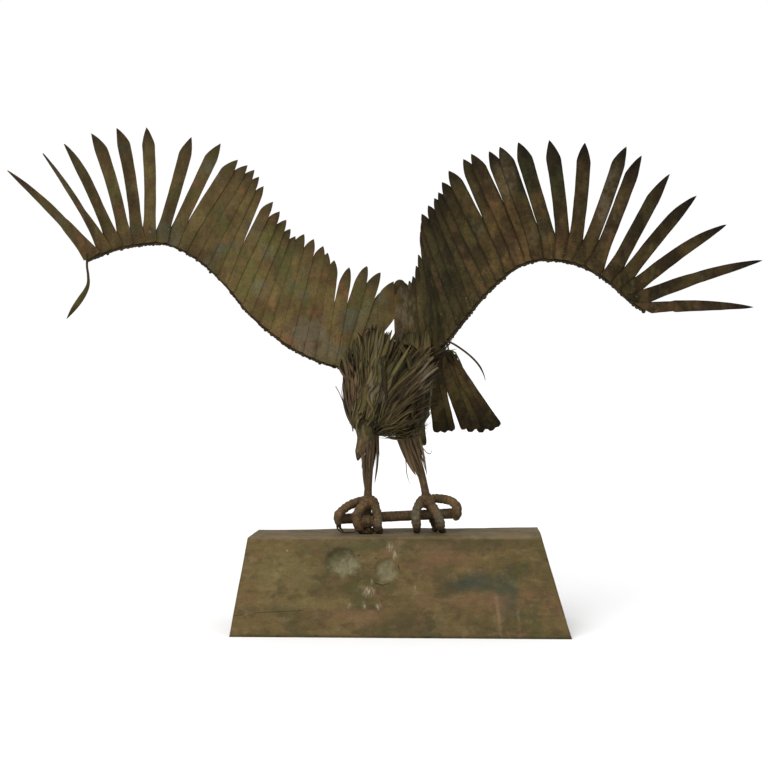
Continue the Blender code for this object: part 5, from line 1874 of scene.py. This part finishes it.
def plinth_spot(u, v, w):
    """A place on or in the tapered box: u along it and v across it, -1 to 1, w up it, 0 to 1."""
    half_top = (PLINTH_TOP_RIGHT - PLINTH_TOP_LEFT) / 2
    middle = (PLINTH_TOP_RIGHT + PLINTH_TOP_LEFT) / 2 * w
    x = middle + u * (PLINTH_HALF_LENGTH + (half_top - PLINTH_HALF_LENGTH) * w)
    top_depth = PLINTH_TOP_HALF_DEPTH - PLINTH_TOP_NARROWING * (u + 1) / 2 * (v < 0)
    y = v * (PLINTH_HALF_DEPTH + (top_depth - PLINTH_HALF_DEPTH) * w)
    height = PLINTH_HEIGHT_LEFT + (PLINTH_HEIGHT_RIGHT - PLINTH_HEIGHT_LEFT) * (u + 1) / 2
    return Vector((x, y, w * height))


def make_plinth(finish):
    """A sheet-iron shell with soft edges, pressed in at two places, open underneath."""
    long_side = spaced(-1.0, 1.0, 0.022, 0.0075, -0.60, 0.10)[:-1]
    short_side = spaced(-1.0, 1.0, 0.07)[:-1]
    loop = [(u, -1.0) for u in long_side] + [(1.0, v) for v in short_side]
    loop += [(-u, -v) for u, v in loop]
    form = bmesh.new()
    rows = []
    for w in spaced(0.0, 1.0, 0.030, 0.011, 0.42, 0.95):
        rows.append([form.verts.new(plinth_spot(u, v, w)) for u, v in loop])
    half_length = (PLINTH_TOP_RIGHT - PLINTH_TOP_LEFT) / 2
    for share in spaced(0.0, 1.0, 0.055)[1:]:
        shrunk = (half_length - share * PLINTH_TOP_HALF_DEPTH) / half_length
        rows.append([form.verts.new(plinth_spot(u * shrunk, v * (1 - share), 1.0)) for u, v in loop])
    bridge(form, rows)
    bmesh.ops.remove_doubles(form, verts=form.verts, dist=2 * PLINTH_SEAM)
    bmesh.ops.dissolve_degenerate(form, edges=form.edges, dist=PLINTH_SEAM)
    bmesh.ops.recalc_face_normals(form, faces=form.faces)
    for vert in form.verts:
        spot = vert.co
        wave = sum(noise.noise(spot * often) * deep for often, deep in PLINTH_WAVES)
        edge = min(1.0, spot.z / FLAT_FOOT)
        if vert.normal.y < -0.5:
            spot.y += dented(spot.x, spot.z)
        vert.co = spot - vert.normal * (PLINTH_SET_BACK + wave) * edge
    made = piece("sheet_iron_plinth", mesh_of(form, "plinth", finish), ["plinth"])
    shell = made.modifiers.new("sheet", "SOLIDIFY")
    shell.thickness = PLINTH_WALL
    shell.offset = -1


# Stage ---------------------------------------------------------------------------------


def make_world(scene):
    """Even white light, a little brighter where the camera sees it."""
    world = bpy.data.worlds.new("studio")
    world.use_nodes = True
    scene.world = world
    board = Board(world.node_tree)
    background = world.node_tree.nodes["Background"]
    seen = board.node("ShaderNodeLightPath", output="Is Camera Ray")
    background.inputs["Color"].default_value = (1.0, 1.0, 1.0, 1.0)
    board.plug(background.inputs["Strength"], EVEN_LIGHT + seen * SEEN_LIGHT)


def make_floor():
    bpy.ops.mesh.primitive_plane_add(size=FLOOR_WIDTH, location=(0, 0, FOOT.z))
    floor = bpy.context.object
    floor.name = "studio_floor"
    paint = bpy.data.materials.new("pale_floor")
    paint.use_nodes = True
    shader = paint.node_tree.nodes["Principled BSDF"]
    shader.inputs["Base Color"].default_value = (FLOOR_GREY, FLOOR_GREY, FLOOR_GREY, 1)
    shader.inputs["Roughness"].default_value = 0.9
    floor.data.materials.append(paint)


def make_stage():
    scene = bpy.context.scene
    scene.view_settings.view_transform = "Standard"
    make_world(scene)
    make_floor()
    for name, strength, breadth, turn in LAMPS:
        light = bpy.data.lights.new(name, "SUN")
        light.energy = strength
        light.angle = math.radians(breadth)
        lamp = bpy.data.objects.new(name, light)
        lamp.rotation_euler = [math.radians(part) for part in turn]
        scene.collection.objects.link(lamp)
    camera = bpy.data.cameras.new("camera")
    camera.lens = CAMERA_LENS
    holder = bpy.data.objects.new("camera", camera)
    holder.matrix_world = Matrix.Translation(FOOT + Vector(CAMERA_PLACE))
    for axis, angle in (("Z", CAMERA_TURN), ("X", 90 + CAMERA_PITCH), ("Z", CAMERA_ROLL)):
        holder.matrix_world = holder.matrix_world @ Matrix.Rotation(math.radians(angle), 4, axis)
    scene.collection.objects.link(holder)
    scene.camera = holder


def main():
    make_stage()
    finishes = {
        "strip": strip_finish(),
        "rod": rod_finish(),
        "forged": forged_finish(),
        "bundle": bundle_finish(),
        "leg": leg_finish(),
        "core": core_shadow_finish(),
        "head": head_finish(),
        "rust": rust_finish(),
    }
    blade, strips, bar, beads = blade_former(), strip_former(), bar_former(), bead_former()
    make_wing(Wing("left", -1, LEFT_ROD, LEFT_GUIDES, LEFT_GROUPS), blade, bar, beads, finishes)
    make_wing(Wing("right", 1, RIGHT_ROD, RIGHT_GUIDES, RIGHT_GROUPS), blade, bar, beads, finishes)
    make_shoulder_blade(blade, finishes["strip"])
    make_tail(blade, finishes["strip"])
    make_end_strip(strips, finishes["strip"])
    make_body(strips, finishes)
    make_head(finishes)
    make_legs(strips, bar, finishes)
    make_feet(bar, finishes)
    make_lumps("rust_lump", RUST_LUMPS, finishes["rust"])
    make_lumps("knuckle_weld", KNUCKLE_WELDS, finishes["forged"])
    make_bar(bar, finishes)
    make_wires(strips, finishes["rod"])
    make_plinth(plinth_finish())


main()
bpy.context.view_layer.update()
